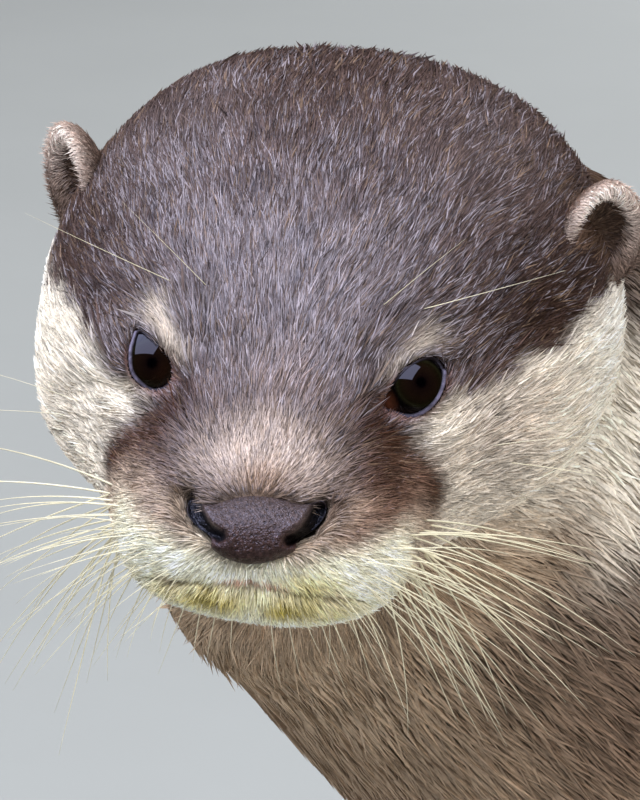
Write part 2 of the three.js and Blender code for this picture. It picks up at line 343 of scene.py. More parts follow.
def noseMaterial():
    shader = Shader("nose leather", 0.42, Specular_IOR_Level=0.5, Coat_Weight=0.15, Coat_Roughness=0.3)
    cells = shader.node("ShaderNodeTexVoronoi", feature="DISTANCE_TO_EDGE")
    cells.inputs["Scale"].default_value = 2300
    shader.link(shader.node("ShaderNodeTexCoord").outputs["Object"], cells.inputs["Vector"])
    shader.marked(shader.noise(2600, 4), 0.6, 1.5)
    shader.bump(cells.outputs["Distance"], 0.00035, 0.9)
    return shader.material


def eyeMaterial():
    shader = Shader("eye", 0.6, Specular_IOR_Level=0.0, Coat_Weight=0.9, Coat_Roughness=0.012,
                    Coat_IOR=1.36)
    fibre = shader.node("ShaderNodeTexNoise")
    fibre.inputs["Scale"].default_value = 9
    fibre.inputs["Detail"].default_value = 4
    shader.link(shader.attribute("fibre", "Vector"), fibre.inputs["Vector"])
    rings = shader.ramp(shader.attribute("fromPupil", "Fac"), [
        (0.0, tone(5, 4, 7)), (0.09, tone(7, 5, 8)), (0.17, tone(21, 15, 14)),
        (0.38, tone(26, 19, 15)), (0.50, tone(24, 20, 14)), (0.57, tone(29, 28, 19)),
        (0.66, tone(11, 9, 10)), (1.0, tone(12, 9, 10))])
    iris = shader.times(rings, shader.spread(fibre.outputs["Fac"], 0.7, 1.3))
    mottle = shader.spread(shader.noise(900, 3), 0.6, 1.3)
    corner = shader.times(shader.value(colours["caruncle"]), mottle)
    shader.colour(shader.mixed(shader.attribute("corner", "Fac"), iris, corner))
    return shader.material


def lidMaterial():
    shader = Shader("eyelid", 0.5, Specular_IOR_Level=0.35)
    grain = shader.noise(1700, 4)
    shader.marked(grain, 0.55, 1.4)
    shader.bump(grain, 0.0003, 0.6)
    return shader.material


def whiskerMaterial(name="whisker"):
    shader = Shader(name, 0.35, Specular_IOR_Level=0.5)
    grain = shader.noise(500, 2)
    shader.marked(grain, 0.9, 1.1)
    shader.bump(grain, 0.0001, 0.3)
    return shader.material


def clawMaterial():
    shader = Shader("claw", 0.4, Specular_IOR_Level=0.5)
    grain = shader.noise(900, 3, stretch=(1, 0.2, 1))
    shader.colour(shader.ramp(grain, [(0.3, tone(120, 100, 86)), (0.7, tone(176, 158, 138))]))
    shader.bump(grain, 0.0001, 0.4)
    return shader.material


def floorMaterial():
    shader = Shader("floor", 0.8, Specular_IOR_Level=0.2)
    grain = shader.noise(6, 4)
    low, high = studio["floor"] * 0.97, studio["floor"] * 1.03
    shader.colour(shader.ramp(grain, [(0.3, low), (0.7, high)]))
    shader.bump(shader.noise(300, 2), 0.0002, 0.2)
    return shader.material


# Meshes from arrays

# A piece from its points and faces, riding on the one body, with its marking and map.
def makePiece(name, points, faces, material, marking=None, uv=None, values=None, soft=True):
    faces = np.asarray(faces, dtype=np.int32)
    sides = faces.shape[1]
    mesh = bpy.data.meshes.new(name)
    mesh.vertices.add(len(points))
    mesh.vertices.foreach_set("co", np.asarray(points, dtype=np.float32).ravel())
    mesh.loops.add(faces.size)
    mesh.loops.foreach_set("vertex_index", faces.ravel())
    mesh.polygons.add(len(faces))
    mesh.polygons.foreach_set("loop_start", np.arange(0, faces.size, sides, dtype=np.int32))
    mesh.update(calc_edges=True)
    mesh.polygons.foreach_set("use_smooth", np.full(len(faces), soft))
    finishMesh(mesh, material, marking, faces, uv, values)
    piece = bpy.data.objects.new(name, mesh)
    bpy.context.scene.collection.objects.link(piece)
    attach(piece, "root")
    return piece


# Lays the marking, other values by point and the map on a mesh.
def finishMesh(mesh, material, marking, faces, uv=None, values=None):
    if marking is not None:
        layer = mesh.attributes.new("marking", "FLOAT_COLOR", "POINT")
        rgba = np.ones((len(mesh.vertices), 4), dtype=np.float32)
        rgba[:, :3] = np.clip(marking, 0.0005, 1)
        layer.data.foreach_set("color", rgba.ravel())
    for key, value in (values or {}).items():
        value = np.asarray(value, dtype=np.float32)
        flat = value.ndim == 1
        layer = mesh.attributes.new(key, "FLOAT" if flat else "FLOAT_VECTOR", "POINT")
        layer.data.foreach_set("value" if flat else "vector", value.ravel())
    if uv is not None:
        layer = mesh.uv_layers.new(name="OFBake")
        layer.data.foreach_set("uv", np.asarray(uv, dtype=np.float32)[faces.ravel()].ravel())
    mesh.materials.append(material)


def fetched(items, key, width, kind=np.float32):  # one property of all items, as rows of that width
    flat = np.empty(len(items) * width, kind)
    items.foreach_get(key, flat)
    return flat.reshape(-1, width)


@contextmanager
def opened(mesh):  # the mesh in a form that can be cut and joined, written back at the end
    shell = bmesh.new()
    shell.from_mesh(mesh)
    yield shell
    shell.to_mesh(mesh)
    shell.free()


def gridFaces(rows, columns, wrap):  # quads of a grid; with wrap the last column meets the first
    last = columns if wrap else columns - 1
    i, j = np.meshgrid(np.arange(rows - 1), np.arange(last), indexing="ij")
    k = (j + 1) % columns
    return np.stack([i * columns + j, i * columns + k, (i + 1) * columns + k, (i + 1) * columns + j],
                    -1).reshape(-1, 4)


def closedCurve(corners, count):  # a smooth loop through the corners, by Catmull and Rom's cubic
    corners = np.array(corners, dtype=float)
    at = np.linspace(0, len(corners), count, endpoint=False)
    i = at.astype(int)
    t = (at - i)[:, None]
    a, b, c, d = (corners[(i + k) % len(corners)] for k in (-1, 0, 1, 2))
    square, cube = 2 * a - 5 * b + 4 * c - d, 3 * b - a - 3 * c + d
    return 0.5 * (2 * b + (c - a) * t + square * t ** 2 + cube * t ** 3)


# A closed outline round a middle point, and how far a place is outside it.
class Outline:
    def __init__(self, curve):
        self.curve = curve
        along = np.roll(curve, -1, 0) - np.roll(curve, 1, 0)
        self.outward = unit(np.stack([along[:, 1], -along[:, 0]], -1))
        self.outward *= np.sign(((curve - curve.mean(0)) * self.outward).sum())
        self.middle = self.curve.mean(0)
        arm = self.curve - self.middle
        angle = np.arctan2(arm[:, 1], arm[:, 0])
        order = np.argsort(angle)
        self.angle, self.reach = angle[order], np.linalg.norm(arm, axis=1)[order]

    def outside(self, p):  # the distance from the middle, less the outline's own that way
        arm = p - self.middle
        angle = np.arctan2(arm[:, 1], arm[:, 0])
        return np.linalg.norm(arm, axis=1) - np.interp(angle, self.angle, self.reach, period=2 * np.pi)


# The eyes: places and the outlines of their openings, seen from the front

eyes = {
    "radius": 6.5, "bulge": 0.35, "sink": 0.5, "outward": {"eye_right": 1.8, "eye_left": 0.4},
    # the opening's corners, across to the viewer's right and up from the eye's middle
    "eye_right": [(-2.2, 4.6), (-2.9, 3.1), (-3.3, 1.2), (-2.9, -1.8), (-0.7, -4.0),
                  (1.3, -4.2), (2.8, -2.7), (2.5, -0.7), (1.1, 0.8), (-0.5, 3.2)],
    "eye_left": [(3.4, 4.2), (4.5, 3.1), (4.8, 1.9), (4.2, -0.6), (2.6, -2.9), (0.1, -4.3), (-2.6, -3.9),
                 (-4.9, -2.6), (-2.9, 0.3), (-0.7, 2.6), (1.6, 4.0)],
    "pupil": {"eye_right": (-0.15, -0.3), "eye_left": (1.3, 0.7)},
    # the lid's thickness, its bare width and the face's rise beside it; places along the lower lid
    "lid": 0.3, "lidWide": 0.75, "slope": 0.9, "wetMiddle": {"eye_right": -66, "eye_left": -84},
    "cornerMiddle": 205, "corner": {"eye_right": 0.03, "eye_left": 0.8},
    "wetRise": 0.22, "lash": 0.8, "lashSeed": 3,
}


# One eye: its middle in the head's frame, its gaze and its opening. Places on the ball are told by
# the arc from the point nearest the viewer: across and up, in the arc's direction and length.
class Eye:
    def __init__(self, node):
        self.side = 1 if node.endswith("left") else -1
        self.name = node
        outward = self.side * eyes["outward"][node] * sight[0]
        self.middle = toHead(boxMiddle(node)) + outward - eyes["sink"] * sight[2]
        flat = closedCurve(eyes[node], 240)
        self.seen = Outline(flat)
        depth = np.sqrt(eyes["radius"] ** 2 - (flat ** 2).sum(-1, keepdims=True))
        self.opening = Outline(self.arcs(np.concatenate([flat, depth], -1)))
        across, rise = eyes["pupil"][node]
        depth = math.sqrt(eyes["radius"] ** 2 - across ** 2 - rise ** 2)
        self.gaze = unit(np.array([across, rise, depth]) @ sight)

    def local(self, h):
        return (h - self.middle) @ sight.T

    def arcs(self, local):  # radius times the angle from the line of sight, that way
        far = np.linalg.norm(local[:, :2], axis=1)
        return unit(local[:, :2]) * (eyes["radius"] * np.arctan2(far, local[:, 2]))[:, None]

    def onBall(self, arcs, radius):  # the place at that radius from the ball's middle
        angle = np.linalg.norm(arcs, axis=-1, keepdims=True) / eyes["radius"]
        local = np.concatenate([unit(arcs) * np.sin(angle), np.cos(angle)], -1)
        return self.middle + radius * local @ sight

    def outside(self, h, reach):  # millimetres outside the opening as seen, and 1 for what is that near
        local = self.local(h)
        behind = np.maximum(-1 - local[:, 2], 0) * 0.8
        return self.seen.outside(local[:, :2]) + behind, np.linalg.norm(local, axis=1) < reach


bothEyes = [Eye("eye_right"), Eye("eye_left")]


# The nose: outlines of the pad and its nostrils, seen from the front

noseShape = {
    "pad": [(-9.9, 4.7), (-7.0, 3.8), (-3.5, 4.9), (-0.6, 5.3), (3.6, 5.0), (7.6, 3.9),
            (10.4, 4.6), (11.0, 2.6), (9.2, 0.0), (6.6, -1.8), (6.0, -3.4), (2.9, -4.8),
            (-0.6, -5.4), (-4.2, -4.6), (-6.7, -2.9), (-6.9, -1.2), (-9.0, 0.4), (-10.6, 2.6)],
    # each nostril's line from its upper end to its inner end
    "nostril": {-1: [(-9.4, 4.0), (-9.2, 2.5), (-8.1, 0.9), (-6.6, -0.4), (-5.4, -1.1)],
                1: [(9.9, 2.9), (9.2, 1.5), (7.9, -0.1), (6.4, -1.2), (5.3, -1.7)]},
    "slitWide": 0.8, "slitDeep": 3.0, "behind": 4.0, "pebble": 0.06,
}


# The pad's frame: the nose's middle, with the viewer's across and rise.
class Nose:
    def __init__(self):
        self.middle = toHead(boxMiddle("nose"))
        self.outline = Outline(closedCurve(noseShape["pad"], 240))

    def local(self, h):
        return (h - self.middle) @ sight.T

    def place(self, local):
        return self.middle + local @ sight

    def fromNostril(self, flat):  # distance to the nearer nostril's line, less what it is wider outside
        near = np.full(flat.shape[:-1], 99.0)
        for line in noseShape["nostril"].values():
            line = np.array(line)
            for start, end in zip(line, line[1:]):
                run = end - start
                t = np.clip(((flat - start) @ run) / (run @ run), 0, 1)
                near = np.minimum(near, np.linalg.norm(flat - start - t[..., None] * run, axis=-1))
        return near - 0.4 * smooth(np.abs(flat[..., 0]), 6, 9.5)


nose = Nose()


# The skin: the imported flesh, merged, rounded and set in by the coat's depth

skinShape = {"voxel": 2.4, "grow": 0.4, "rounds": 12, "faceRounds": 6, "faceCuts": 3}

# Bones that the coat follows: zone, from, to and the flesh's half thickness
def bonesOf():
    h = fromHead
    m = boxMiddle
    bones = [("head", h([0, -24, -16]), h([0, 10, -10]), 30),
             ("head", h([0, 10, -10]), h([0, 66, -6]), 44),
             ("neck", h([0, 72, -14]), m("neck"), 48), ("neck", m("neck"), m("chest"), 54),
             ("trunk", m("chest"), m("loin"), 55)]
    tailStart = m("loin") * (1, 0, 1) + np.array([0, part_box("loin")[1][1] - 0.03, 0])
    bones.append(("trunk", m("loin"), tailStart, 50))
    tail = [tailStart, m("tail_root"), m("tail_middle"), m("tail_tip")]
    tail.append(2 * tail[3] - tail[2])
    for start, end, thick in zip(tail, tail[1:], (34, 22, 14, 8)):
        bones.append(("tail", start, end, thick))
    for leg, top, low in (("front", "upper_arm", "forearm"), ("hind", "thigh", "shank")):
        for side in ("left", "right"):
            name = f"{leg}_{side}"
            upper, lower, foot = m(f"{name}_{top}"), m(f"{name}_{low}"), m(f"{name}_foot")
            heel, toes = foot + np.array([0, 0.022, 0.002]), foot - np.array([0, 0.026, 0])
            bones.append(("leg", upper, lower, 24 if leg == "front" else 27))
            bones.append(("leg", lower, heel, 13))
            bones.append(("foot", heel, toes, 11))
    return bones


bones = bonesOf()
zones = ["head", "neck", "trunk", "tail", "leg", "foot"]
zoneOf = np.array([zones.index(b[0]) for b in bones])


# For each place its share in each zone, the lie of the coat and its height over the bone.
# A bone's share is (distance / thickness) to the power -9; the lie is the shares' mean heading.
def alongBones(p):
    starts, ends = np.array([b[1] for b in bones]), np.array([b[2] for b in bones])
    thick = np.array([b[3] for b in bones]) * mm
    share = np.zeros((len(p), len(zones)))
    lie = np.zeros((len(p), 3))
    up = np.zeros(len(p))
    total = np.zeros(len(p))
    for start, end, half, zone in zip(starts, ends, thick, zoneOf):
        run = end - start
        t = np.clip((p - start) @ run / (run @ run), 0, 1)
        arm = p - (start + t[:, None] * run)
        weight = (np.linalg.norm(arm, axis=1) / half + 0.05) ** -9
        share[:, zone] += weight
        lie += weight[:, None] * unit(run)
        up += weight * arm[:, 2] / half
        total += weight
    return share / total[:, None], unit(lie), up / total


# All solids but the ears as one mesh, each point moved out along its normal by the growth.
def mergedFlesh():
    flesh = bmesh.new()
    for name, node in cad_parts.items():
        if not name.startswith("ear"):
            flesh.from_mesh(node.data)
    bmesh.ops.remove_doubles(flesh, verts=flesh.verts, dist=1e-6)
    mesh = bpy.data.meshes.new("flesh")
    flesh.to_mesh(mesh)
    flesh.free()
    points, normals = fetched(mesh.vertices, "co", 3), fetched(mesh.vertices, "normal", 3)
    mesh.vertices.foreach_set("co", (points + normals * skinShape["grow"] * mm).ravel())
    return mesh


def remeshed(mesh):  # the outer surface of all of them, on a grid of small cubes
    body = bpy.data.objects.new("flesh", mesh)
    bpy.context.scene.collection.objects.link(body)
    remesh = body.modifiers.new("one surface", "REMESH")
    remesh.mode = "VOXEL"
    remesh.voxel_size = skinShape["voxel"] * mm
    graph = bpy.context.evaluated_depsgraph_get()
    made = bpy.data.meshes.new_from_object(body.evaluated_get(graph))
    bpy.data.objects.remove(body)
    return made


# Leaves only the outer surface, without closed pockets inside it: every point takes the lowest number
# among its neighbours until none changes, and the number held by most points is kept.
def largestPart(mesh):
    points, edges = readMesh(mesh)
    label = np.arange(len(points))
    while True:
        lowest = label.copy()
        np.minimum.at(lowest, edges[:, 0], label[edges[:, 1]])
        np.minimum.at(lowest, edges[:, 1], label[edges[:, 0]])
        lowest = lowest[lowest]
        if np.array_equal(lowest, label):
            break
        label = lowest
    keep = label == np.bincount(label).argmax()
    with opened(mesh) as shell:
        inside = [v for v in shell.verts if not keep[v.index]]
        bmesh.ops.delete(shell, geom=inside, context="VERTS")


def readMesh(mesh):  # points and edges as arrays
    return fetched(mesh.vertices, "co", 3).astype(float), fetched(mesh.edges, "vertices", 2, np.int32)


def writePoints(mesh, points):
    mesh.vertices.foreach_set("co", points.astype(np.float32).ravel())
    mesh.update()


def normalsOf(mesh):
    return fetched(mesh.vertices, "normal", 3).astype(float)


# Each round moves every point part of the way to its neighbours' mean, then nearly as far back,
# so that facets go and the volume stays.
def eased(points, edges, amount, rounds):
    a, b = edges.T
    count = np.bincount(edges.ravel(), minlength=len(points))[:, None]
    for turn in range(2 * rounds):
        total = np.stack([np.bincount(a, points[b, k], len(points))
                          + np.bincount(b, points[a, k], len(points)) for k in range(3)], -1)
        step = 0.55 if turn % 2 == 0 else -0.56
        points = points + (total / count - points) * step * amount[:, None]
    return points


def faceShare(h):  # 1 on the front of the face and round the eyes, 0 further back
    far = np.linalg.norm((h - (0, -16, -14)) / (34, 26, 26), axis=1)
    for eye in bothEyes:
        far = np.minimum(far, np.linalg.norm(h - eye.middle, axis=1) / 13.5)
    return 1 - smooth(far, 0.95, 1.05)


def subdivideFace(mesh):  # cuts the edges of the face's front into shorter ones
    near = faceShare(toHead(readMesh(mesh)[0])) > 0.5
    with opened(mesh) as shell:
        edges = [e for e in shell.edges if near[e.verts[0].index] and near[e.verts[1].index]]
        bmesh.ops.subdivide_edges(shell, edges=edges, cuts=skinShape["faceCuts"], use_grid_fill=True)
        bmesh.ops.triangulate(shell, faces=[f for f in shell.faces if len(f.verts) > 4])


# Rises and hollows of the face: where, how far they reach and how far out they move the skin
faceForms = [
    ((19, 1.5, 6.2), (7.5, 5, 2.6), 0.9),  # brow
    ((24.5, -1.5, -7.6), (5.5, 4, 1.6), 0.7),  # fold below the eye
    ((19, -9, -7.5), (5, 6, 3.2), -0.8),  # hollow in front of the eye
    ((15, -24, -17), (7, 6, 5), 0.9),  # whisker pad
    ((8, -27.5, -18), (5, 4, 4), 0.6),  # upper lip beside the middle
    ((11, -17, -6.5), (4, 8, 3), -0.4),  # side of the nose's bridge
]
mouthLine = {"front": -20.9, "curve": 0.0125, "deep": 1.1, "wide": 0.85, "ends": 21}


def fromMouth(h):  # millimetres above the line where the lips meet, which bends down to each side
    return h[:, 2] - (mouthLine["front"] - mouthLine["curve"] * h[:, 0] ** 2)


def mouthShare(h):  # 1 along the lips' line at the front, fading to its ends
    ends = mouthLine["ends"]
    front = smooth(-h[:, 1], 12, 18) * (1 - smooth(np.abs(h[:, 0]), ends - 7, ends))
    return front * np.exp(-(fromMouth(h) / mouthLine["wide"]) ** 2)


# The skin moves out along its normal by the sum of the forms' blots, less the mouth's line. Then the
# eyes are opened, and under the nose's pad and its nostrils the skin goes back.
def carveFace(points, normals):
    h = toHead(points)
    side = mirrored(h)
    out = sum(blot(side, at, reach) * far for at, reach, far in faceForms)
    out = out - mouthShare(h) * mouthLine["deep"]
    middle = np.exp(-(h[:, 0] / 0.8) ** 2) * smooth(-h[:, 1], 22, 27) * smooth(-h[:, 2], 14.5, 16)
    out = out - 0.6 * middle * smooth(fromMouth(h), -0.5, 0.5)  # the groove from the nose to the lip
    h = h + (normals @ headAxes.T) * out[:, None]
    for eye in bothEyes:
        h = openEye(h, eye)
    flat = nose.local(h)
    front = flat[:, 2] > -4
    inside = np.maximum(smooth(-nose.outline.outside(flat[:, :2]), 0.2, 1.2),
                        1 - smooth(nose.fromNostril(flat[:, :2]), 0.9, 2.0))
    h = h - (inside * front)[:, None] * noseShape["behind"] * sight[2]
    return fromHead(h)


# The skin moves only toward or away from the viewer. Inside the opening it lies under the ball. Outside
# it is at least the ball's height plus a lid, and at most the height of the opening's edge plus the
# slope times the distance out, a limit that fades away with that distance.
def openEye(h, eye):
    local = eye.local(h)
    flat, height = local[:, :2], local[:, 2]
    out = eye.seen.outside(flat)
    far = np.linalg.norm(flat, axis=1)
    edge = np.linalg.norm(flat - unit(flat - eye.seen.middle) * out[:, None], axis=1)
    radius = eyes["radius"]
    shoulder = 0.8 * radius  # past this the lid runs straight down from the ball
    ball = np.sqrt(radius ** 2 - np.minimum(far, shoulder) ** 2) - 1.33 * np.maximum(far - shoulder, 0)
    beyond = np.maximum(out - 0.6, 0)
    limit = np.sqrt(np.maximum(radius ** 2 - edge ** 2, 1)) + eyes["lid"] + eyes["slope"] * beyond
    limit = limit + 40 * smooth(out, 3, 10) ** 2
    lid = np.minimum(np.maximum(height, ball + eyes["lid"]), np.maximum(limit, ball + eyes["lid"]))
    under = np.sqrt(np.maximum((radius - 1.2) ** 2 - far ** 2, 0))
    moved = under + (lid - under) * smooth(out, 0.05, 0.75)
    near = (height > -5) & (out < 10)
    return eye.middle + np.column_stack([flat, np.where(near, moved, height)]) @ sight


# How far the skin lies under the coat's tips, by zone; soles and palms stay at the floor.
def coatDepth(points, normals, share):
    h = toHead(points)
    cheek = blot(h, (0, 22, -22), (60, 30, 16))
    head = 0.9 + 0.5 * smooth(h[:, 1], 0, 30) + 0.9 * cheek
    deep = np.stack([head] + [np.full(len(h), d) for d in (2.8, 3.4, 2.4, 1.9, 0.8)], -1)
    sole = smooth(-normals[:, 2], 0.3, 0.8) * (points[:, 2] < 3 * mm)
    return ((share * deep).sum(-1) + skinShape["grow"]) * (1 - sole)


# Ears: a cup with a rolled rim, closed behind

earShape = {
    "halfWide": {-1: 6.1, 1: 7.5}, "halfHigh": {-1: 9.6, 1: 10.4}, "back": 3.7, "lean": 2.4,
    "roll": 0.9, "hollow": 2.8, "turn": {-1: 49, 1: 38}, "tip": 16,
    "shift": {-1: (0.1, 1.2, -2.8), 1: (-2.0, -3.2, -0.5)}, "columns": 56, "rings": 34,
}

# An ear's frame: its middle, and its own across, back and up as rows
def earFrame(side):
    tip, turn = math.radians(side * earShape["tip"]), math.radians(side * earShape["turn"][side])
    tipped = np.array([[math.cos(tip), 0, -math.sin(tip)], [0, 1, 0], [math.sin(tip), 0, math.cos(tip)]])
    c, s = math.cos(turn), math.sin(turn)
    turned = np.array([[c, s, 0], [-s, c, 0], [0, 0, 1]])
    node = "ear_left" if side > 0 else "ear_right"
    return toHead(boxMiddle(node)) + np.array(earShape["shift"][side]), tipped @ turned


def inEar(h, side):  # 1 in the middle of the hollow, 0 from the rim on
    middle, axes = earFrame(side)
    local = (h - middle) @ axes.T / (earShape["halfWide"][side], 1, earShape["halfHigh"][side])
    return (1 - smooth(np.hypot(local[:, 0], local[:, 2]), 0.7, 0.95)) * (np.abs(local[:, 1] - 2.5) < 6)


# Across the cup s runs from the pole behind, over the rim, to the bottom of the hollow. Behind:
# radius sin(a), depth back cos(a). Rim: a half circle. Inside: radius cos(b), depth hollow sin(b).
def earCup(side):
    size = earShape
    s = np.linspace(0, 1, size["rings"])[:, None]
    t = np.linspace(0, 2 * np.pi, size["columns"], endpoint=False)[None, :]
    a = np.clip(s / 0.42, 0, 1) * np.pi / 2
    roll = np.clip((s - 0.42) / 0.16, 0, 1) * np.pi
    b = np.clip((s - 0.58) / 0.42, 0, 1) * np.pi / 2
    wide, high = size["halfWide"][side], size["halfHigh"][side]
    narrow = size["roll"] / wide
    radius = np.where(s < 0.42, np.sin(a), np.where(s < 0.58, 1 - narrow * (1 - np.cos(roll)),
                                                    (1 - 2 * narrow) * np.cos(b)))
    depth = np.where(s < 0.42, size["back"] * np.cos(a), np.where(
        s < 0.58, -size["roll"] * np.sin(roll), size["hollow"] * np.sin(b) ** 1.3))
    wave = 1 + 0.035 * np.cos(2 * t + 0.6) + 0.02 * np.cos(3 * t)
    x = radius * wave * np.cos(t) * wide
    z = radius * wave * np.sin(t) * high
    y = depth - size["lean"] * radius ** 2 * (0.6 + 0.4 * np.abs(np.cos(t)))
    middle, axes = earFrame(side)
    local = np.stack(np.broadcast_arrays(x, y, z), -1).reshape(-1, 3)
    place = np.broadcast_to(s, x.shape).reshape(-1)
    rise = np.broadcast_to(radius * np.sin(t), x.shape).reshape(-1)
    return middle + local @ axes, gridFaces(*x.shape, True), place, rise


# Starts from the crown's colour; every marking is laid over it by a share from 0 to 1 that is a
# blot, or a smooth step across a border.
def headColours(h):
    x, y, z = np.abs(h[:, 0]), h[:, 1], h[:, 2]
    side = mirrored(h)
    wander = ripple(h, 9, 3) * 1.2 + ripple(h, 3.5, 4) * 0.7
    tint = np.tile(colours["crown"], (len(h), 1))

    def lay(name, share):
        nonlocal tint
        tint = mix(tint, colours[name], np.clip(share, 0, 1)[:, None])

    # the forehead takes a greyer, lighter brown: painted sheen of the sky over the fur's brown
    lay("foreheadSheen", blot(side, (0, 8, 12), (24, 26, 14)))
    lay("between", blot(side, (0, -5, 3), (9, 8, 7)) * 0.8)
    lay("temple", blot(side, (36, 24, 3), (13, 22, 9)) * (0.5 + 0.45 * smooth(h[:, 0], -8, 8)))
    # and the top behind it, at half strength: painted sheen
    lay("foreheadSheen", blot(side, (27, 46, 20), (13, 17, 12)) * 0.5)
    # below the border from the eye's outer corner to the ear's foot the fur is cream
    border = -2.6 + 0.06 * (y - 4) + 0.9 * wander - 4 * smooth(y, 20, 31) * smooth(-h[:, 0], 0, 9)
    pale = smooth(border - z, -1.2, 2.4) * smooth(x + 0.35 * y, 18, 25)
    pale = pale * (1 - smooth(y - 0.5 * x, 22, 36))
    lay("cheek", pale)
    lay("brown", blot(h, (34, 6, -10), (13, 13, 11)) * 0.3)
    lay("white", blot(side, (49, 38, -18), (8, 11, 14)) * 1.2 * pale)
    lay("muzzle", smooth(-z - 7 + wander, 0, 5) * smooth(-y, 4, 14) * 0.9)
    lay("bridge", blot(side, (3.5, -18.5, -5.0), (9.0, 6.0, 4.0)) * 1.1)
    lay("bridge", blot(side, (0, -13, -2.4), (6.5, 4.5, 3.0)) * 0.75)
    lay("temple", streak(side, (15.6, -7.6, -2.0), (19.5, -9.5, -5.4), 2.0) * 0.9)
    lay("patch", streak(side, (16.4, -7.5, -2.4), (20.5, -10.5, -6.8), 3.0) * 1.1)
    lay("patch", streak(side, (20.5, -10.5, -6.8), (26.0, -9.0, -13.5), 4.0) * 1.05)
    # brown runs on from the dark band over the pad, further on the left
    over = streak(side, (22, -14, -9.5), (17, -25, -15), 5.5)
    lay("brown", over * (0.35 + 0.65 * smooth(h[:, 0], -6, 6)))
    lay("patch", blot(side, (18.5, -14.5, -9.5), (5, 5, 4)) * (0.25 + 0.6 * smooth(h[:, 0], -6, 6)))
    lay("patch", blot(h, (18, -11, -6), (6.5, 6.5, 4.5)) * 0.5)
    lay("cheek", blot(side, (26.0, -2.0, -6.6), (4.5, 4.0, 1.9)) * 0.95)
    lay("spot", blot(side, (0, -22.8, -5.7), (4.0, 3.6, 2.2)) * 0.9)
    lay("brow", streak(side, (17.2, -0.4, 2.2), (21.5, 5.5, 5.4), 1.7)
        * (0.62 + 0.25 * smooth(-h[:, 0], -6, 6)))
    lay("brow", blot(side, (22.5, 7.0, 5.2), (3.2, 3.4, 2.0)) * 0.5)
    lay("lip", smooth(-z + 0.09 * x + 0.5 * wander, 13.8, 18.6) * smooth(-y, 12, 22)
        * (1 - smooth(x, 20, 30)))
    lay("stain", blot(h, (9, -29, -20), (5, 5, 2.6)) * 0.7)
    lay("chin", blot(side, (7, -28, -25.5), (9, 8, 3.6)) * (0.84 + 0.25 * ripple(h, 7, 8)))
    lay("mouth", np.exp(-(fromMouth(h) / 0.7) ** 2) * smooth(-y, 22, 28) * (1 - smooth(x, 3.5, 7)) * 0.8)
    lay("spot", blot(side, (13, -28.5, -23), (1.6, 3, 1.3)) * 0.8)
    # the ears' hollows darker: painted shade over their inner fur
    lay("hollow", 2 * (inEar(h, -1) + inEar(h, 1)))
    lay("throat", smooth(-z, 34, 46))
    flat = nose.local(h)
    near = nose.fromNostril(flat[:, :2]) + 9 * (flat[:, 2] < -6)
    lay("nostril", (1 - smooth(near, 0.6, 1.9)) * 0.85)
    # on the nostrils' lines the skin is near black: painted shade in the openings
    lay("slit", 1 - smooth(near, 0.6, 1.2))
    for eye in bothEyes:
        out, near = eye.outside(h, 14)
        over = smooth(eye.local(h)[:, 1], 0.5, 3.5)
        lay("lidSkin", np.exp(-(np.maximum(out - 0.5, 0) / 1.0) ** 2) * 0.75 * (1 - over) * near)
        # above the opening a dark band along the upper lid, wider upward: painted shade under the brow
        lay("temple", np.exp(-(np.maximum(out - 0.5, 0) / (0.2 + 0.8 * over)) ** 2) * 0.85 * near * over)
    return tint


def paintedSheenShare(h):  # how many of the dark hairs take the painted silver sheen of the sky: most on the forehead and top, fewer low down and toward the muzzle
    side = mirrored(h)
    many = 0.16 + 0.44 * blot(side, (0, 4, 11), (28, 24, 14)) + 0.12 * ripple(h, 18, 51)
    many = many + 0.3 * blot(h, (-26, 24, 20), (12, 16, 12))
    many = np.clip(many, 0.05, 0.7) * (1 - 0.6 * smooth(-h[:, 2], 0, 8))
    many = many * (1 - 0.7 * blot(side, (36, 22, 2), (9, 16, 7)))
    return many * (1 - 0.95 * smooth(-h[:, 1], 5, 13)) * (1 - 0.8 * blot(side, (20, -9, -5), (6, 6, 6)))


# Dark along the top of neck, trunk and tail, mid brown on the neck's sides and pale underneath. The
# neck's tones give way to the trunk's over the length of the shoulder.
def bodyColours(p, share, up):
    up = up + 0.1 * ripple(p / mm, 30, 5)
    below = smooth(-up, 0.15, 0.85)[:, None]
    above = smooth(up, -0.35, 0.45)[:, None]
    shoulder = boxMiddle("chest")[1]
    trunk = smooth(p[:, [1]], shoulder - 0.06, shoulder + 0.05)
    flank = mix(colours["neck"], colours["flank"], trunk)
    under = mix(colours["throat"], colours["belly"], trunk)
    body = mix(flank, colours["back"], above)
    body = mix(body, under, below)
    limb = smooth(share[:, [zones.index("leg")]], 0.2, 0.9) * 0.9
    body = mix(body, colours["flank"] * 0.9, limb)
    return mix(body, colours["foot"], share[:, [zones.index("foot")]])


# The head's markings give way to the body's outside an ellipsoid round the head. A pale collar lies
# behind and under the cheeks, and thins out down the throat.
def markings(points, share, up):
    h = toHead(points)
    blend = 1 - smooth(np.linalg.norm((h - (0, 20, -4)) / (62, 78, 58), axis=1), 0.75, 1.15)[:, None]
    tint = mix(bodyColours(points, share, up), headColours(h), blend)
    side = mirrored(h)
    collar = blot(side, (53, 36, -24), (14, 18, 20)) * smooth(-h[:, 2], 0, 12)
    collar = np.maximum(collar + 0.2 * ripple(h, 11, 9) * smooth(collar, 0, 0.3), 0)
    throat = 0.4 * blot(side, (30, 20, -40), (18, 20, 12))
    throat = throat + 0.75 * blot(side, (10, 22, -74), (30, 26, 26))
    for name, much in (("throat", throat), ("collar", collar)):
        much = np.clip(much * 1.15, 0, 1)[:, None] * (h[:, [1]] < 80)
        tint = mix(tint, colours[name], much)
    return tint


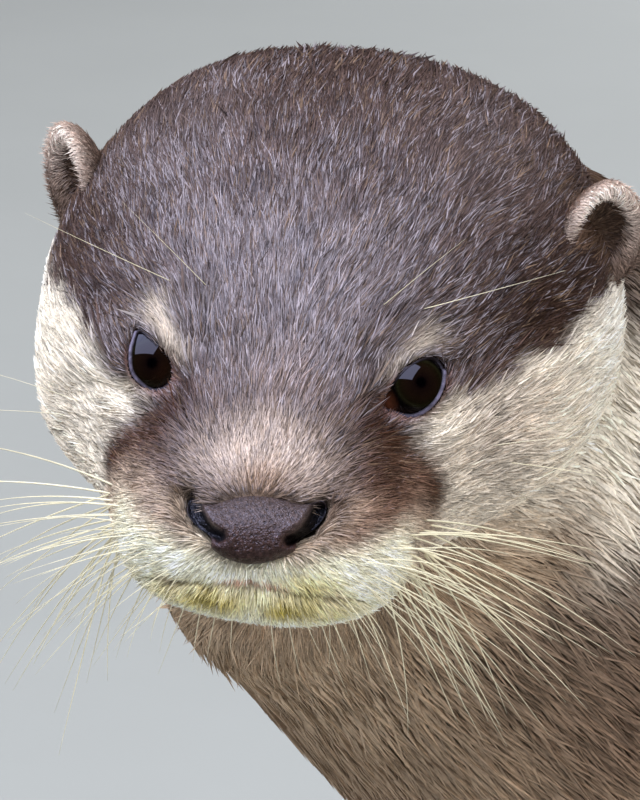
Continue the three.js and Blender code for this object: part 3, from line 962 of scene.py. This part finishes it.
# The coat's cut by place: length, width, rise of the tips and hairs in a square millimetre

cut = {
    "crown": (7.4, 0.152, 0.6, 8.9), "back": (8.0, 0.29, 0.8, 3.6), "cheek": (6.6, 0.198, 1.0, 7.4),
    "muzzle": (3.2, 0.172, 0.6, 11.8), "bridge": (2.4, 0.172, 0.42, 12.6),
    "lip": (2.4, 0.167, 0.55, 12.6), "lids": (2.0, 0.15, 0.4, 15.0),
    "chin": (4.0, 0.2, 0.9, 10.0), "ear": (1.5, 0.14, 0.3, 17.0),
    "neck": (9.4, 0.44, 1.3, 1.45), "trunk": (12.0, 0.76, 2.2, 0.54), "tail": (9.0, 0.7, 1.3, 0.76),
    "leg": (8.0, 0.72, 1.4, 0.52), "foot": (3.4, 0.42, 0.6, 1.4),
}


# The crown's cut, with the others laid over it by place.
def headCut(h):
    x, y, z = np.abs(h[:, 0]), h[:, 1], h[:, 2]
    side = mirrored(h)
    made = np.tile(np.array(cut["crown"]), (len(h), 1))

    def lay(name, share):
        nonlocal made
        made = mix(made, np.array(cut[name]), np.clip(share, 0, 1)[:, None])

    lay("cheek", smooth(-2 - z, -2, 6) * smooth(x + 0.3 * y, 16, 28))
    lay("back", smooth(y, 44, 62))
    lay("chin", smooth(-z, 24, 30) * smooth(-y, -2, 10))
    lay("muzzle", smooth(-y, 2, 14) * smooth(-z, 2, 8) * (1 - smooth(-z, 26, 30)))
    lay("bridge", blot(side, (3, -19, -5), (9, 8, 5)) * 1.2)
    lay("lip", blot(side, (0, -29, -17.5), (13, 8, 6)) * 1.3)
    for eye in bothEyes:
        out, near = eye.outside(h, 15)
        lay("lids", np.exp(-(np.maximum(out, 0) / 4.0) ** 2) * near)
    return made


# The coat streams away from the nose: each place's heading is its own place less the nose's. Round
# each eye it parts as water does round a post: with f = (w / (w + distance out))^2 for a post of
# radius w, but at most 1, the heading v becomes v (1 + f) - 2 f (v's part along the way out). At the
# lids the hairs also turn a little outward.
def headLie(h):
    lie = unit(h - (0, -30, -9))
    lie = lie * (1 - 0.5 * smooth(h[:, 1:2], 30, 60)) + np.array([0, 0.5, 0]) * smooth(h[:, 1:2], 30, 60)
    for eye in bothEyes:
        out, _ = eye.outside(h, 15)
        post = np.minimum(6 / (4.5 + np.maximum(out, 0)), 1) ** 2
        post = (post * (1 - smooth(out, 12, 24)))[:, None]
        away = unit(eye.local(h)[:, :2] - eye.seen.middle) @ sight[:2]
        lie = lie * (1 + post) - 2 * post * (lie * away).sum(-1, keepdims=True) * away
        lie = unit(lie) + away * 0.7 * np.exp(-np.maximum(out, 0) / 1.8)[:, None]
    swirl = np.stack([ripple(h, 16, s) for s in (21, 22, 23)], -1)
    return unit(unit(lie) + 0.14 * swirl)


# The skin's mesh: merged, eased, finer on the face, set in by the coat's depth and carved.
def buildSkin():
    mesh = remeshed(mergedFlesh())
    largestPart(mesh)
    points, edges = readMesh(mesh)
    share = alongBones(points)[0]
    amount = 1 - 0.45 * share[:, zones.index("foot")]
    points = eased(points, edges, amount, skinShape["rounds"])
    writePoints(mesh, points)
    subdivideFace(mesh)
    points, edges = readMesh(mesh)
    near = faceShare(toHead(points))
    points = eased(points, edges, near * 0.9, skinShape["faceRounds"])
    writePoints(mesh, points)
    normals = normalsOf(mesh)
    share = alongBones(points)[0]
    throat = 3.5 * blot(toHead(points), (-16, 24, -62), (14, 20, 18))
    points = points + normals * (throat - coatDepth(points, normals, share))[:, None] * mm
    writePoints(mesh, points)
    points = carveFace(points, normalsOf(mesh))
    points[:, 2] = np.maximum(points[:, 2], 0.0002)  # nothing reaches under the floor
    writePoints(mesh, points)
    print("skin shaped,", len(mesh.polygons), "faces")
    return mesh


# What each point of the skin tells the coat: place, normal, marking, lie and cut, its shares in the
# zones, and its height over the bone. Where the cut's last number is 0 nothing grows.
def skinArrays(mesh):
    normals = normalsOf(mesh)
    points, _ = readMesh(mesh)
    share, lie, up = alongBones(points)
    h = toHead(points)
    head = smooth(share[:, [0]], 0.25, 0.75)
    marking = markings(points, share, up)
    trunk = smooth(points[:, [1]], boxMiddle("chest")[1] - 0.07, boxMiddle("chest")[1] + 0.09)
    body = mix(np.array(cut["neck"]), np.array(cut["trunk"]), trunk)
    rows = [body, body, body] + [np.array(cut[z]) for z in ("tail", "leg", "foot")]
    made = sum(share[:, [i]] * row for i, row in enumerate(rows))
    made = mix(made, headCut(h), head)
    lie = unit((headLie(h) @ headAxes) * head + lie * (1 - head))
    sole = smooth(-normals[:, 2], 0.55, 0.8) * (points[:, 2] < 4 * mm)
    marking = mix(marking, colours["sole"], sole[:, None])
    made[:, 3] = made[:, 3] * (1 - sole)
    for eye in bothEyes:  # no hair inside the lids
        out, near = eye.outside(h, 9.5)
        wide = eyes["lidWide"] + 0.4 * smooth(-eye.local(h)[:, 1], 0, 2)
        made[near & (out < wide), 3] = 0
    flat = nose.local(h)
    bare = (nose.outline.outside(flat[:, :2]) < -0.45) & (flat[:, 2] > -6) & (np.abs(flat[:, 0]) < 14)
    bare |= (nose.fromNostril(flat[:, :2]) < 0.9) & (flat[:, 2] > -6)
    bare |= (inEar(h, -1) + inEar(h, 1)) > 0.5
    made[bare, 3] = 0
    return {"points": points, "normals": normals, "marking": marking, "lie": lie,
            "cut": made, "share": share, "up": up, "silverSheen": paintedSheenShare(h) * head[:, 0], "own": sole}


# Joins both ear cups to the skin's arrays. Their hair runs from the foot to the rim, and from
# the rim down into the hollow.
def addEars(arrays, faces):
    for side in (-1, 1):
        h, quads, place, rise = earCup(side)
        count = len(arrays["points"])
        points = fromHead(h)
        # the rim is pale, palest at the top: its own pale fur with a painted highlight along the top
        edge = (np.exp(-((place - 0.46) / 0.13) ** 2) * smooth(rise, -0.55, 0.75))[:, None]
        inner = smooth(place, 0.5, 0.6)[:, None]
        deep = (smooth(place, 0.54, 0.66) * (1 - 0.5 * smooth(rise, 0.1, 0.7)))[:, None]
        marking = colours["earBack"] + (colours["rim"] - colours["earBack"]) * edge
        # inside the rim the colour steps down to the inner brown, then darker toward the bottom of the
        # hollow and less at its top, and the low back takes the temple's brown: painted shade over the
        # ear's own darker inside
        marking = mix(marking, colours["earInside"], inner)
        marking = mix(marking, colours["hollow"], deep)
        low = smooth(-rise, 0.2, 0.8)[:, None] * (place < 0.45)[:, None]
        marking = mix(marking, colours["temple"], 0.4 * low)
        grid = points.reshape(earShape["rings"], earShape["columns"], 3)
        along = np.gradient(grid, axis=0).reshape(-1, 3)
        around = (np.roll(grid, -1, 1) - np.roll(grid, 1, 1)).reshape(-1, 3)
        normal = unit(np.cross(around, along))
        lie = unit(along) + np.array([0, 0, 0.5])
        lie = np.where((place > 0.62)[:, None], -unit(along) + np.array([0, 0, 0.3]), lie)
        made = np.tile(np.array(cut["ear"]), (len(h), 1))
        made[:, 0] = made[:, 0] * (1 + 0.4 * (place > 0.6))
        share = np.zeros((len(h), len(zones)))
        share[:, 0] = 1
        add = {"points": points, "normals": normal, "marking": marking,
               "lie": unit(lie), "cut": made, "share": share, "up": np.zeros(len(h)),
               "silverSheen": np.zeros(len(h)), "own": np.ones(len(h))}
        arrays = {k: np.concatenate([arrays[k], add[k]]) for k in arrays}
        faces = np.concatenate([faces, quads + count])
    return arrays, faces


def meshFaces(mesh):  # every face as four corners; a triangle repeats its last
    totals = fetched(mesh.polygons, "loop_total", 1, np.int32)
    starts = fetched(mesh.polygons, "loop_start", 1, np.int32)
    corners = fetched(mesh.loops, "vertex_index", 1, np.int32)[:, 0]
    return corners[starts + np.minimum(np.arange(4)[None, :], totals - 1)]


def trianglesOf(quads):  # two for each quad, one where the last corner is repeated
    first, second = quads[:, [0, 1, 2]], quads[:, [0, 2, 3]]
    return np.concatenate([first, second[second[:, 1] != second[:, 2]]])


# Tufts

# Places spread evenly over the surface: the running total of area times density is cut at equal
# steps, and each cut gets a random place inside its triangle.
def scatter(points, triangles, density, rng):
    a, b, c = (points[triangles[:, k]] for k in range(3))
    area = np.linalg.norm(np.cross(b - a, c - a), axis=1) / 2 / mm ** 2
    running = np.cumsum(area * density[triangles].mean(1))
    count = int(running[-1])
    at = (np.arange(count) + rng.uniform(0, 1, count)) * running[-1] / count
    face = np.minimum(np.searchsorted(running, at), len(triangles) - 1)
    u, v = np.sqrt(rng.uniform(0, 1, count)), rng.uniform(0, 1, count)
    weights = np.stack([1 - u, u * (1 - v), u * v], -1)
    return triangles[face], weights


def between(values, corners, weights):  # a value inside a triangle, from its corners'
    return (values[corners] * weights.reshape(weights.shape + (1,) * (values.ndim - 1))).sum(1)


# A tuft's four faces and its patch on the map
tuftFaces = np.array([(0, 2, 1), (3, 1, 2), (0, 1, 3), (0, 3, 2)])
tuftPatch = np.array([(0, -1), (1, 0.1), (-1, 0.1), (0, 1)]) * 0.0015


# Four points for each tuft: the root, two sides at 0.42 of its length and the tip. The middle stands
# at 0.8 of the tip's height, so the tuft leaves the skin and then lies along it, and on the head it
# bends after the skin: down by length squared over twice the head's roundness.
def tuftShapes(root, normal, lie, length, width, rise, bend, roll, drop):
    across = np.cross(normal, lie)
    length, width, rise, bend, roll, drop = (a[:, None] for a in (length, width, rise, bend, roll, drop))
    side = across * np.cos(roll) + normal * np.sin(roll)
    middle = root + lie * length * 0.42 + normal * (rise * 0.8 - drop * 0.18) + across * bend * 0.25
    tip = root + lie * length + normal * (rise - drop) + across * bend
    start = root - normal * width * 0.5 - lie * length * 0.04
    return np.stack([start, middle + side * width * 0.5, middle - side * width * 0.5, tip], 1)


growth = {
    "seed": 7, "lengthSpread": 0.25, "widthSpread": 0.25, "turn": 0.09, "roll": 0.45, "seenAt": 0.5,
    # spread of brightness, share of the painted silver sheen in a sheened hair, and how dark the roots
    # are
    "pale": 0.2, "silverSheen": 0.4, "goldenShare": 0.1, "rootDark": 0.32, "rootPale": 0.42,
    "strand": 0.26, "strandWide": 1.5, "strandLong": 0.88, "roundness": 46,
}

# A tuft takes the marking of the place where its middle is seen, so that a border isn't carried back
# by the hairs that cross it. Neighbours in a strand share their brightness: the strands are a ripple
# of the place with its part along the lie pressed small.
def growCoat(arrays, triangles):
    rng = np.random.default_rng(growth["seed"])
    corners, weights = scatter(arrays["points"], triangles, arrays["cut"][:, 3], rng)
    root, normal, lie, made, marking, share, up, silverSheen, own = (
        between(arrays[k], corners, weights)
        for k in ("points", "normals", "lie", "cut", "marking", "share", "up", "silverSheen", "own"))
    count = len(root)
    normal = unit(normal)
    h, straight = toHead(root), unit(lie) @ headAxes.T
    strand = ripple(h - growth["strandLong"] * (h * straight).sum(-1, keepdims=True) * straight,
                    growth["strandWide"], 33)
    lie = lie + rng.normal(size=(count, 3)) * growth["turn"]
    lie = unit(lie - normal * (lie * normal).sum(-1, keepdims=True))
    length = made[:, 0] * np.exp(rng.normal(size=count) * growth["lengthSpread"]) * mm
    width = made[:, 1] * np.exp(rng.normal(size=count) * growth["widthSpread"]) * mm
    rise = made[:, 2] * (rng.uniform(0.55, 1.15, count) + 0.25 * strand) * mm
    bend = rng.normal(size=count) * length * 0.1
    roll = rng.normal(size=count) * growth["roll"]
    drop = length ** 2 / (2 * growth["roundness"] * mm) * np.clip(share[:, 0] * (1 - own), 0, 1)
    shapes = tuftShapes(root, normal, lie, length, width, rise, bend, roll, drop)
    seen = markings(root + lie * length[:, None] * growth["seenAt"], share, up)
    marking = seen + (marking - seen) * smooth(own, 0.2, 0.8)[:, None]
    light = 1 + growth["pale"] * rng.normal(size=count)
    light = light + 0.12 * ripple(h, 5, 31) + 0.08 * ripple(h, 14, 32)
    dark = 1 - smooth(marking.mean(-1), 0.12, 0.45)  # dark fur has hairs with the painted silver sheen, and golden ones, among dark ones
    # a share of the dark hairs take the silver sheen colour: painted sheen of the sky
    pick = rng.uniform(size=count)
    sheenMix = dark * (pick < silverSheen) * growth["silverSheen"]
    golden = dark * (pick > 1 - growth["goldenShare"]) * growth["silverSheen"]
    marking = marking + (colours["silverSheen"] - marking) * sheenMix[:, None]
    marking = marking + (colours["golden"] - marking) * golden[:, None]
    light = light + growth["strand"] * strand * (0.65 + 0.35 * dark)
    light = light + dark * np.where(pick < 0.35, 0.15, -0.1)
    light = 1 + (light - 1) * (1 - 0.45 * share[:, 1])
    # Each tuft darkens toward its root, the more so in dark fur: the hair's own darker base with painted
    # shade among the hairs
    along = np.array([0.0, 0.75, 0.75, 1.0])[None, :]
    base = (growth["rootDark"] + growth["rootPale"] * (1 - dark))[:, None]
    shade = (base + (1.15 - base) * along) * np.clip(light, 0.3, 2.2)[:, None]
    tint = marking[:, None, :] * shade[..., None]
    shapes[..., 2] = np.maximum(shapes[..., 2], 0.0002)  # nothing reaches under the floor
    return {"shapes": shapes, "tint": tint, "root": root, "share": share}


# A cylinder round the part: the turn about its length gives one side, the place along it the
# other. Legs take a quarter each.
def unwrap(root, part):
    if part == "head":
        h = toHead(root)
        turn = np.arctan2(h[:, 0], h[:, 2] + 10) / (2 * np.pi) + 0.5
        along = (h[:, 1] + 36) / 130
    elif part == "legs":
        fore, hind = boxMiddle("front_left_forearm"), boxMiddle("hind_left_shank")
        behind = root[:, 1] > (fore[1] + hind[1]) / 2
        across = np.abs(root[:, 0]) - np.where(behind, abs(hind[0]), abs(fore[0]))
        ahead = root[:, 1] - np.where(behind, hind[1], fore[1])
        turn = (np.arctan2(across, ahead) / (2 * np.pi) + 0.5 + (root[:, 0] > 0) + 2 * behind) / 4
        along = root[:, 2] / 0.14
    else:
        turn = np.arctan2(root[:, 0], root[:, 2] - 0.11) / (2 * np.pi) + 0.5
        along = (root[:, 1] - root[:, 1].min()) / (np.ptp(root[:, 1]) + 1e-9)
    return np.stack([turn, along], -1) * 0.98 + 0.01


# Each part's tufts are sorted by their turn round it and cut into pieces of at most so many faces.
def layCoat(coat, material, mostFaces=196000):
    zone = coat["share"].argmax(1)
    parts = {"Head": ("head", zone == 0), "Neck": ("trunk", zone == 1), "Trunk": ("trunk", zone == 2),
             "Tail": ("trunk", zone == 3), "Legs": ("legs", zone >= 4)}
    for name, (wrap, chosen) in parts.items():
        index = np.nonzero(chosen)[0]
        at = unwrap(coat["root"][index], wrap)
        order = np.argsort(at[:, 0], kind="stable")
        index, at = index[order], at[order]
        pieces = math.ceil(len(index) * len(tuftFaces) / mostFaces)
        split = zip(np.array_split(index, pieces), np.array_split(at, pieces))
        for k, (some, place) in enumerate(split):
            points, tint = coat["shapes"][some].reshape(-1, 3), coat["tint"][some].reshape(-1, 3)
            uv = (place[:, None, :] + tuftPatch[None]).reshape(-1, 2)
            first = np.arange(len(some))[:, None, None] * len(tuftPatch)
            faces = (tuftFaces[None] + first).reshape(-1, 3)
            piece = makePiece(f"coat{name}{k + 1}", points, faces, material, tint, uv, soft=False)
        print("coat on the", name.lower() + ":", len(index), "tufts")


# The balls of the eyes

# A ball with a clear bulge: radius R + bulge e^-(angle / 0.62)^4 round the line of gaze. The corner's
# share falls with the arc from the inner corner of the opening.
def buildEyeball(eye, material, rings=64, columns=128):
    angle = np.linspace(0, np.pi, rings)[:, None]
    turn = np.linspace(0, 2 * np.pi, columns, endpoint=False)[None, :]
    radius = eyes["radius"] + eyes["bulge"] * np.exp(-(angle / 0.62) ** 4)
    side = unit(np.cross(eye.gaze, sight[1]))
    rise = np.cross(side, eye.gaze)
    ring = np.cos(turn)[..., None] * side + np.sin(turn)[..., None] * rise
    way = np.cos(angle)[..., None] * eye.gaze + np.sin(angle)[..., None] * ring
    h = (eye.middle + radius[..., None] * way).reshape(-1, 3)
    fibre = np.stack(np.broadcast_arrays(np.cos(turn) * 3, np.sin(turn) * 3, angle * 0.6), -1)
    curve = eye.opening.curve
    tip = curve[np.argmin(curve[:, 0] * eye.side)]
    arc = np.linalg.norm(eye.arcs(eye.local(h)) - tip, axis=1)
    corner = (1 - smooth(arc, 1.4, 4.0)) * eyes["corner"][eye.name]
    faces = gridFaces(rings, columns, True)[:, ::-1]
    fromPupil = np.broadcast_to(angle, (rings, columns)).reshape(-1)
    piece = makePiece(eye.name + "Ball", fromHead(h), faces, material,
                      values={"fromPupil": fromPupil, "fibre": fibre.reshape(-1, 3), "corner": corner})
    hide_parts(eye.name)


# The lid's edge: a closed profile carried round the opening. Each profile point has a place outward
# from the opening's edge and a height over the ball. Its lower, outer half is wet, and its pale bluish
# grey there is a painted reflection of the sky.
def buildLids(eye, material):
    profile = np.array([(-0.20, -0.5), (-0.14, -0.06), (-0.02, 0.1), (0.14, 0.18), (0.3, 0.2),
                        (0.44, 0.12), (0.58, -0.15), (0.62, -0.6), (0.2, -0.8)])
    curve, outward = eye.opening.curve, eye.opening.outward
    arcs = curve[None] + profile[:, 0, None, None] * outward[None]
    angle = np.arctan2(outward[:, 1], outward[:, 0] * eye.side)
    lower = smooth(np.cos(angle - math.radians(eyes["wetMiddle"][eye.name])), -0.35, 0.25)
    height = (eyes["radius"] + eyes["bulge"] * 0.3 + profile[:, 1])[:, None]
    height = height + eyes["wetRise"] * lower
    h = eye.onBall(arcs, height[..., None])
    rows, columns = arcs.shape[:2]
    faces = gridFaces(rows + 1, columns, True) % (rows * columns)
    lower = lower * (0.8 + 0.35 * ripple(np.column_stack([curve, 0 * curve[:, :1]]), 1.3, 61))
    inner = smooth(np.cos(angle - math.radians(eyes["cornerMiddle"])), 0.75, 0.97)
    inner = inner * eyes["corner"][eye.name]
    # the pale bluish grey on the lower rim is a painted reflection of the sky
    rimReflection = np.array([0, 0.1, 0.6, 1, 0.85, 0.4, 0.1, 0, 0])[:, None] * lower[None]
    red = np.array([0.5, 1, 1, 0.8, 0.4, 0, 0, 0, 0])[:, None] * inner[None]
    # the bare lid skin shows most below; above, the edge stays nearer the lash's dark: the lid's own dark
    # edge with painted shade along the upper lid
    bare = (smooth(profile[:, 0], 0.3, 0.55)[:, None] * (0.4 + 0.6 * lower))[..., None]
    marking = mix(colours["lash"], colours["lidSkin"], bare)
    marking = mix(marking, colours["wetRimReflection"], rimReflection[..., None])
    marking = mix(marking, colours["caruncle"], red[..., None])
    points, marking = fromHead(h.reshape(-1, 3)), marking.reshape(-1, 3)
    piece = makePiece(eye.name + "Lids", points, faces, material, marking)
    turnOutward(piece)


# Short dark lashes round the lid, lying back over its outer edge: root + outward s, 0.9 s (1.25 - s) high
def growLashes(eye, material, step=5):
    rng = np.random.default_rng(eyes["lashSeed"])
    curve, outward = eye.opening.curve[::step], eye.opening.outward[::step]
    count = len(curve)
    s = np.linspace(0, 1, 4)[None, :, None]
    lean = rng.normal(size=(count, 1, 2)) * 0.45
    long = eyes["lash"] * rng.uniform(0.6, 1.3, (count, 1, 1))
    arcs = curve[:, None] + outward[:, None] * 0.42 + (outward[:, None] + lean) * s * long
    height = eyes["radius"] + eyes["bulge"] * 0.3 + 0.12 + 0.9 * s * (1.25 - s)
    paths = eye.onBall(arcs, height)
    radii = np.tile(0.042 * (1 - 0.8 * s[:, :, 0]), (count, 1))
    points, faces = sweptHairs(paths, radii, 4)
    tint = np.tile(colours["lash"], (len(points), 1))
    piece = makePiece(eye.name + "Lashes", fromHead(points), faces, material, tint)
    closeEnds(piece)


def turnOutward(piece):  # welds the seam and turns all faces outward
    with opened(piece.data) as shell:
        bmesh.ops.remove_doubles(shell, verts=shell.verts, dist=1e-7)
        bmesh.ops.recalc_face_normals(shell, faces=shell.faces)


# The nose

# The pad in rings from its middle to its outline and on behind it. Its face is a rounded form set at
# the imported nose's middle; nostrils are pressed in along two bent lines; fine pebbles roughen it.
def buildNose(material, rings=60, columns=220):
    size = noseShape
    grid = np.linspace(0, 1.22, rings)[:, None]
    turn = np.linspace(0, 2 * np.pi, columns, endpoint=False)[None, :]
    outline = nose.outline
    reach = np.interp(np.where(turn > np.pi, turn - 2 * np.pi, turn), outline.angle, outline.reach,
                      period=2 * np.pi)
    inside = np.minimum(grid, 1)
    flat = outline.middle + (inside * reach)[..., None] * np.stack([np.cos(turn), np.sin(turn)], -1)
    x, z = flat[..., 0], flat[..., 1]
    form = 5.2 - 0.021 * x ** 2 - 0.055 * (z + 0.6) ** 2 - 0.42 * np.maximum(z - 1, 0)
    edge = 1.7 * np.clip(inside, 0, 1) ** 7 + (grid > 1) * (grid - 1) / 0.22 * 5
    groove = 0.35 * np.exp(-(x / 0.5) ** 2) * smooth(-z, 0.5, 3)
    near = nose.fromNostril(flat)
    press = np.exp(-(np.maximum(near, 0) / size["slitWide"]) ** 3)
    swell = 0.45 * np.exp(-((near - 1.8) / 0.8) ** 2)
    black = smooth(press, 0.2, 0.7)
    face = np.stack([x, z, 0 * x], -1)
    grain = ripple(face, 0.75, 41) + 0.6 * ripple(face, 0.42, 42)
    pebbles = size["pebble"] * grain * (1 - black)
    depth = form - edge - groove - size["slitDeep"] * press + swell + pebbles
    h = nose.place(np.stack([x, z, depth], -1).reshape(-1, 3))
    # the pad lightens and greys toward its top: painted sheen from above over the leather's dark brown
    top = smooth(z, -2.0, 2.5)[..., None]
    marking = mix(colours["padLow"], colours["padTopSheen"], top)
    # lighter on the raised pebbles and darker in the pits between them: painted highlight and shade
    marking = marking * (1 + 0.35 * grain[..., None])
    wing = smooth(np.abs(x) - 0.2 * z, 7.4, 8.6)[..., None] * 0.6
    marking = mix(marking, colours["nostril"], wing)
    # the pressed-in nostrils are painted near black: painted shade in the openings
    marking = mix(marking, colours["slit"], black[..., None])
    faces = gridFaces(rings, columns, True)
    piece = makePiece("noseLeather", fromHead(h), faces, material, marking.reshape(-1, 3))
    turnOutward(piece)
    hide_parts("nose")


# Whiskers

whiskerPlan = {
    "rows": 8, "columns": 7, "thick": 0.165, "seed": 5, "rootSpread": 0.5,
    # degrees: the top row's turn, how far it falls to the bottom row, the lift in front, the spread
    "turn": -2, "fall": 74, "lift": 14, "turnSpread": 9,
    # the foremost one's length and how much longer the hindmost one is
    "short": 14, "longer": 28, "lengthSpread": (0.72, 1.12), "droop": (0.1, 0.3),
    # on chin, brow and cheek: thickness as a share of thick, how many on a side, and how long
    "onChin": 0.6, "onBrow": 0.45, "chinCount": 8, "chinLength": (8, 20), "browCount": 2,
}


# Round tapering tubes: every path is a row of points, and each ring's radius falls to the tip.
def sweptHairs(paths, radii, sides=6):
    count, steps = paths.shape[:2]
    along = unit(np.gradient(paths, axis=1))
    helper = np.where(np.abs(along[..., 2:3]) > 0.8, np.array([1.0, 0, 0]), np.array([0, 0, 1.0]))
    side = unit(np.cross(along, helper))
    rise = np.cross(along, side)
    turn = np.linspace(0, 2 * np.pi, sides, endpoint=False)
    ring = side[:, :, None] * np.cos(turn)[:, None] + rise[:, :, None] * np.sin(turn)[:, None]
    points = paths[:, :, None] + ring * radii[:, :, None, None]
    faces = gridFaces(steps, sides, True)
    faces = (faces[None] + np.arange(count)[:, None, None] * steps * sides).reshape(-1, 4)
    return points.reshape(-1, 3), faces


def whiskerPath(root, heading, length, droop, steps=14):  # root + heading s + droop s^2, bent down
    s = np.linspace(0, 1, steps)[:, None]
    return root - unit(heading) * 1.2 + unit(heading) * s * length + np.array(droop) * s ** 2


def growWhiskers(tree, material):
    rng = np.random.default_rng(whiskerPlan["seed"])
    paths, thick, tints = [], [], []

    def root(x, y, z):  # the skin's place straight in from the side, or from the front
        start = Vector(fromHead([x * 3, y - 20, z]))
        hit = tree.ray_cast(start, (Vector(fromHead([x * 0.2, y + 8, z])) - start).normalized())
        return toHead(np.array(hit[0])) if hit[0] is not None else np.array([x, y, z])

    def add(at, heading, length, droop, radius):
        paths.append(whiskerPath(at, np.array(heading), length, droop))
        thick.append(radius)
        tints.append(rng.uniform(0.8, 1.1))

    plan = whiskerPlan
    rows, columns = plan["rows"], plan["columns"]
    for side in (-1, 1):
        for row in range(rows):
            for column in range(columns):
                down, back = row / (rows - 1), column / (columns - 1)
                low = -15.5 - 8.5 * down - 1.5 * back
                at = root(side * (11 + 13 * back - 3 * down), -25 + 13 * back, low)
                at = at + rng.normal(size=3) * plan["rootSpread"]
                turn = plan["turn"] - plan["fall"] * down + plan["lift"] * (1 - back)
                turn = math.radians(turn + rng.normal() * plan["turnSpread"])
                heading = np.array([side * math.cos(turn), 0.05 + 0.35 * back + rng.normal() * 0.12,
                                    math.sin(turn) - 0.12])
                length = (plan["short"] + plan["longer"] * back ** 0.75) * (1 - 0.15 * abs(down - 0.5))
                length = length * rng.uniform(*plan["lengthSpread"])
                droop = (side * rng.normal() * 2.0, 2 * back, -length * rng.uniform(*plan["droop"]))
                add(at, heading, length, droop, plan["thick"] * (0.62 + 0.5 * back))
        for k in range(plan["chinCount"]):  # shorter ones on the chin
            at = root(side * (2 + 1.8 * k), -24, -25.5 - 0.5 * rng.uniform())
            heading, length = (side * (0.05 + 0.08 * k), 0.1, -1), rng.uniform(*plan["chinLength"])
            add(at, heading, length, (side * rng.normal(), 0.5, -1), plan["thick"] * plan["onChin"])
        for k in range(plan["browCount"]):  # long thin ones over the eye
            at = root(side * (14 + 5 * k), 8 + 3 * k, 9 - k)
            heading = (side * (0.62 + 0.3 * k), -0.3, 0.85 - 0.3 * k)
            add(at, heading, 22 + 5 * k, (side * 1.5, 0, 1.0), plan["thick"] * plan["onBrow"])
        for k in range(plan["browCount"]):  # and on the cheek
            at = root(side * 33, 4 + 3 * k, -12 - 4 * k)
            heading = (side * 1.0, 0.1, 0.25 - 0.3 * k)
            add(at, heading, 20, (0, 1, -2), plan["thick"] * plan["onBrow"])
    paths, thick, tints = np.array(paths), np.array(thick), np.array(tints)
    s = np.linspace(0, 1, paths.shape[1])
    radii = thick[:, None] * (0.12 + 0.88 * (1 - s) ** 0.8)[None]
    points, faces = sweptHairs(paths, radii)
    tint = np.repeat(tints, paths.shape[1] * 6)[:, None] * tone(238, 229, 198)
    piece = makePiece("whiskers", fromHead(points), faces, material, tint)
    closeEnds(piece)
    print("whiskers:", len(paths))


def closeEnds(piece):  # fills the open ends of the tubes
    with opened(piece.data) as shell:
        bmesh.ops.holes_fill(shell, edges=[e for e in shell.edges if e.is_boundary], sides=0)
        bmesh.ops.recalc_face_normals(shell, faces=shell.faces)


# Claws: short blunt pegs that don't reach past the toes

# toe: from the ball of the foot to the toes' middles; back, high and bend place a claw on its toe
clawShape = {
    "long": 3.4, "thick": 0.9, "apart": 6.3, "fan": 14, "toe": {"front": 14, "hind": 18},
    "toeRadius": 4.1, "back": 3.2, "high": 5.6, "bend": 2.6,
}


def buildClaws(material, rings=10, sides=12):
    paths = []
    size = clawShape
    up = np.array([0, 0, 1])
    for leg in ("front", "hind"):
        for side in ("left", "right"):
            low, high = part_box(f"{leg}_{side}_foot")
            heel = (low[0] + high[0]) / 2 / mm
            toe = size["toe"][leg]
            ball = low[1] / mm + toe + size["toeRadius"]
            for k in range(-2, 3):
                angle = math.radians(size["fan"] * k)
                reach = toe * (1 - 0.06 * k * k) + size["toeRadius"]
                heading = np.array([math.sin(angle), -math.cos(angle), 0])
                tip = np.array([heel + k * size["apart"], ball + 1.4 * k * k, 0]) + heading * reach
                s = np.linspace(0, 1, rings)[:, None]
                path = tip + heading * (s * size["long"] - size["back"])
                paths.append(path + up * size["high"] - up * size["bend"] * s ** 2)
    paths = np.array(paths) * mm
    s = np.linspace(0, 1, rings)
    radii = np.tile(size["thick"] * mm * np.sqrt(np.clip(1 - s ** 2.2, 0.03, 1)), (len(paths), 1))
    points, faces = sweptHairs(paths, radii, sides)
    piece = makePiece("claws", points, faces, material)
    closeEnds(piece)


# Floor

# A wide flat disc: radius r, turn t.
def layFloor(material):
    r = np.array([0.001, 0.5, 1, 2, 4, 8, 16, 40])[:, None]
    t = np.linspace(0, 2 * np.pi, 72, endpoint=False)[None]
    points = np.stack([r * np.cos(t), r * np.sin(t), 0 * r * t], -1).reshape(-1, 3)
    faces = gridFaces(len(r), 72, True)
    mesh = bpy.data.meshes.new("floor")
    mesh.from_pydata(points.tolist(), [], faces.tolist())
    mesh.polygons.foreach_set("use_smooth", np.full(len(faces), True))
    mesh.materials.append(material)
    floor = bpy.data.objects.new("floor", mesh)
    bpy.context.scene.collection.objects.link(floor)
    floor.visible_glossy = False


# Everything together

lightStudio()
layFloor(floorMaterial())
print("studio lit")

skinMesh = buildSkin()
arrays = skinArrays(skinMesh)
quads = meshFaces(skinMesh)
arrays, quads = addEars(arrays, quads)
triangles = trianglesOf(quads)
skin = makePiece("skin", arrays["points"], triangles, skinMaterial(), arrays["marking"])
fleshNodes = [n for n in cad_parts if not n.startswith(("eye", "nose"))]
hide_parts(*fleshNodes)
print("skin:", len(triangles), "triangles")

coat = growCoat(arrays, triangles)
layCoat(coat, coatMaterial())

glass, lid, lash = eyeMaterial(), lidMaterial(), whiskerMaterial("lash")
for eye in bothEyes:
    buildEyeball(eye, glass)
    buildLids(eye, lid)
    growLashes(eye, lash)
buildNose(noseMaterial())
tree = BVHTree.FromPolygons(arrays["points"].tolist(), triangles.tolist())
growWhiskers(tree, whiskerMaterial())
buildClaws(clawMaterial())
print("eyes, nose, whiskers and claws made")
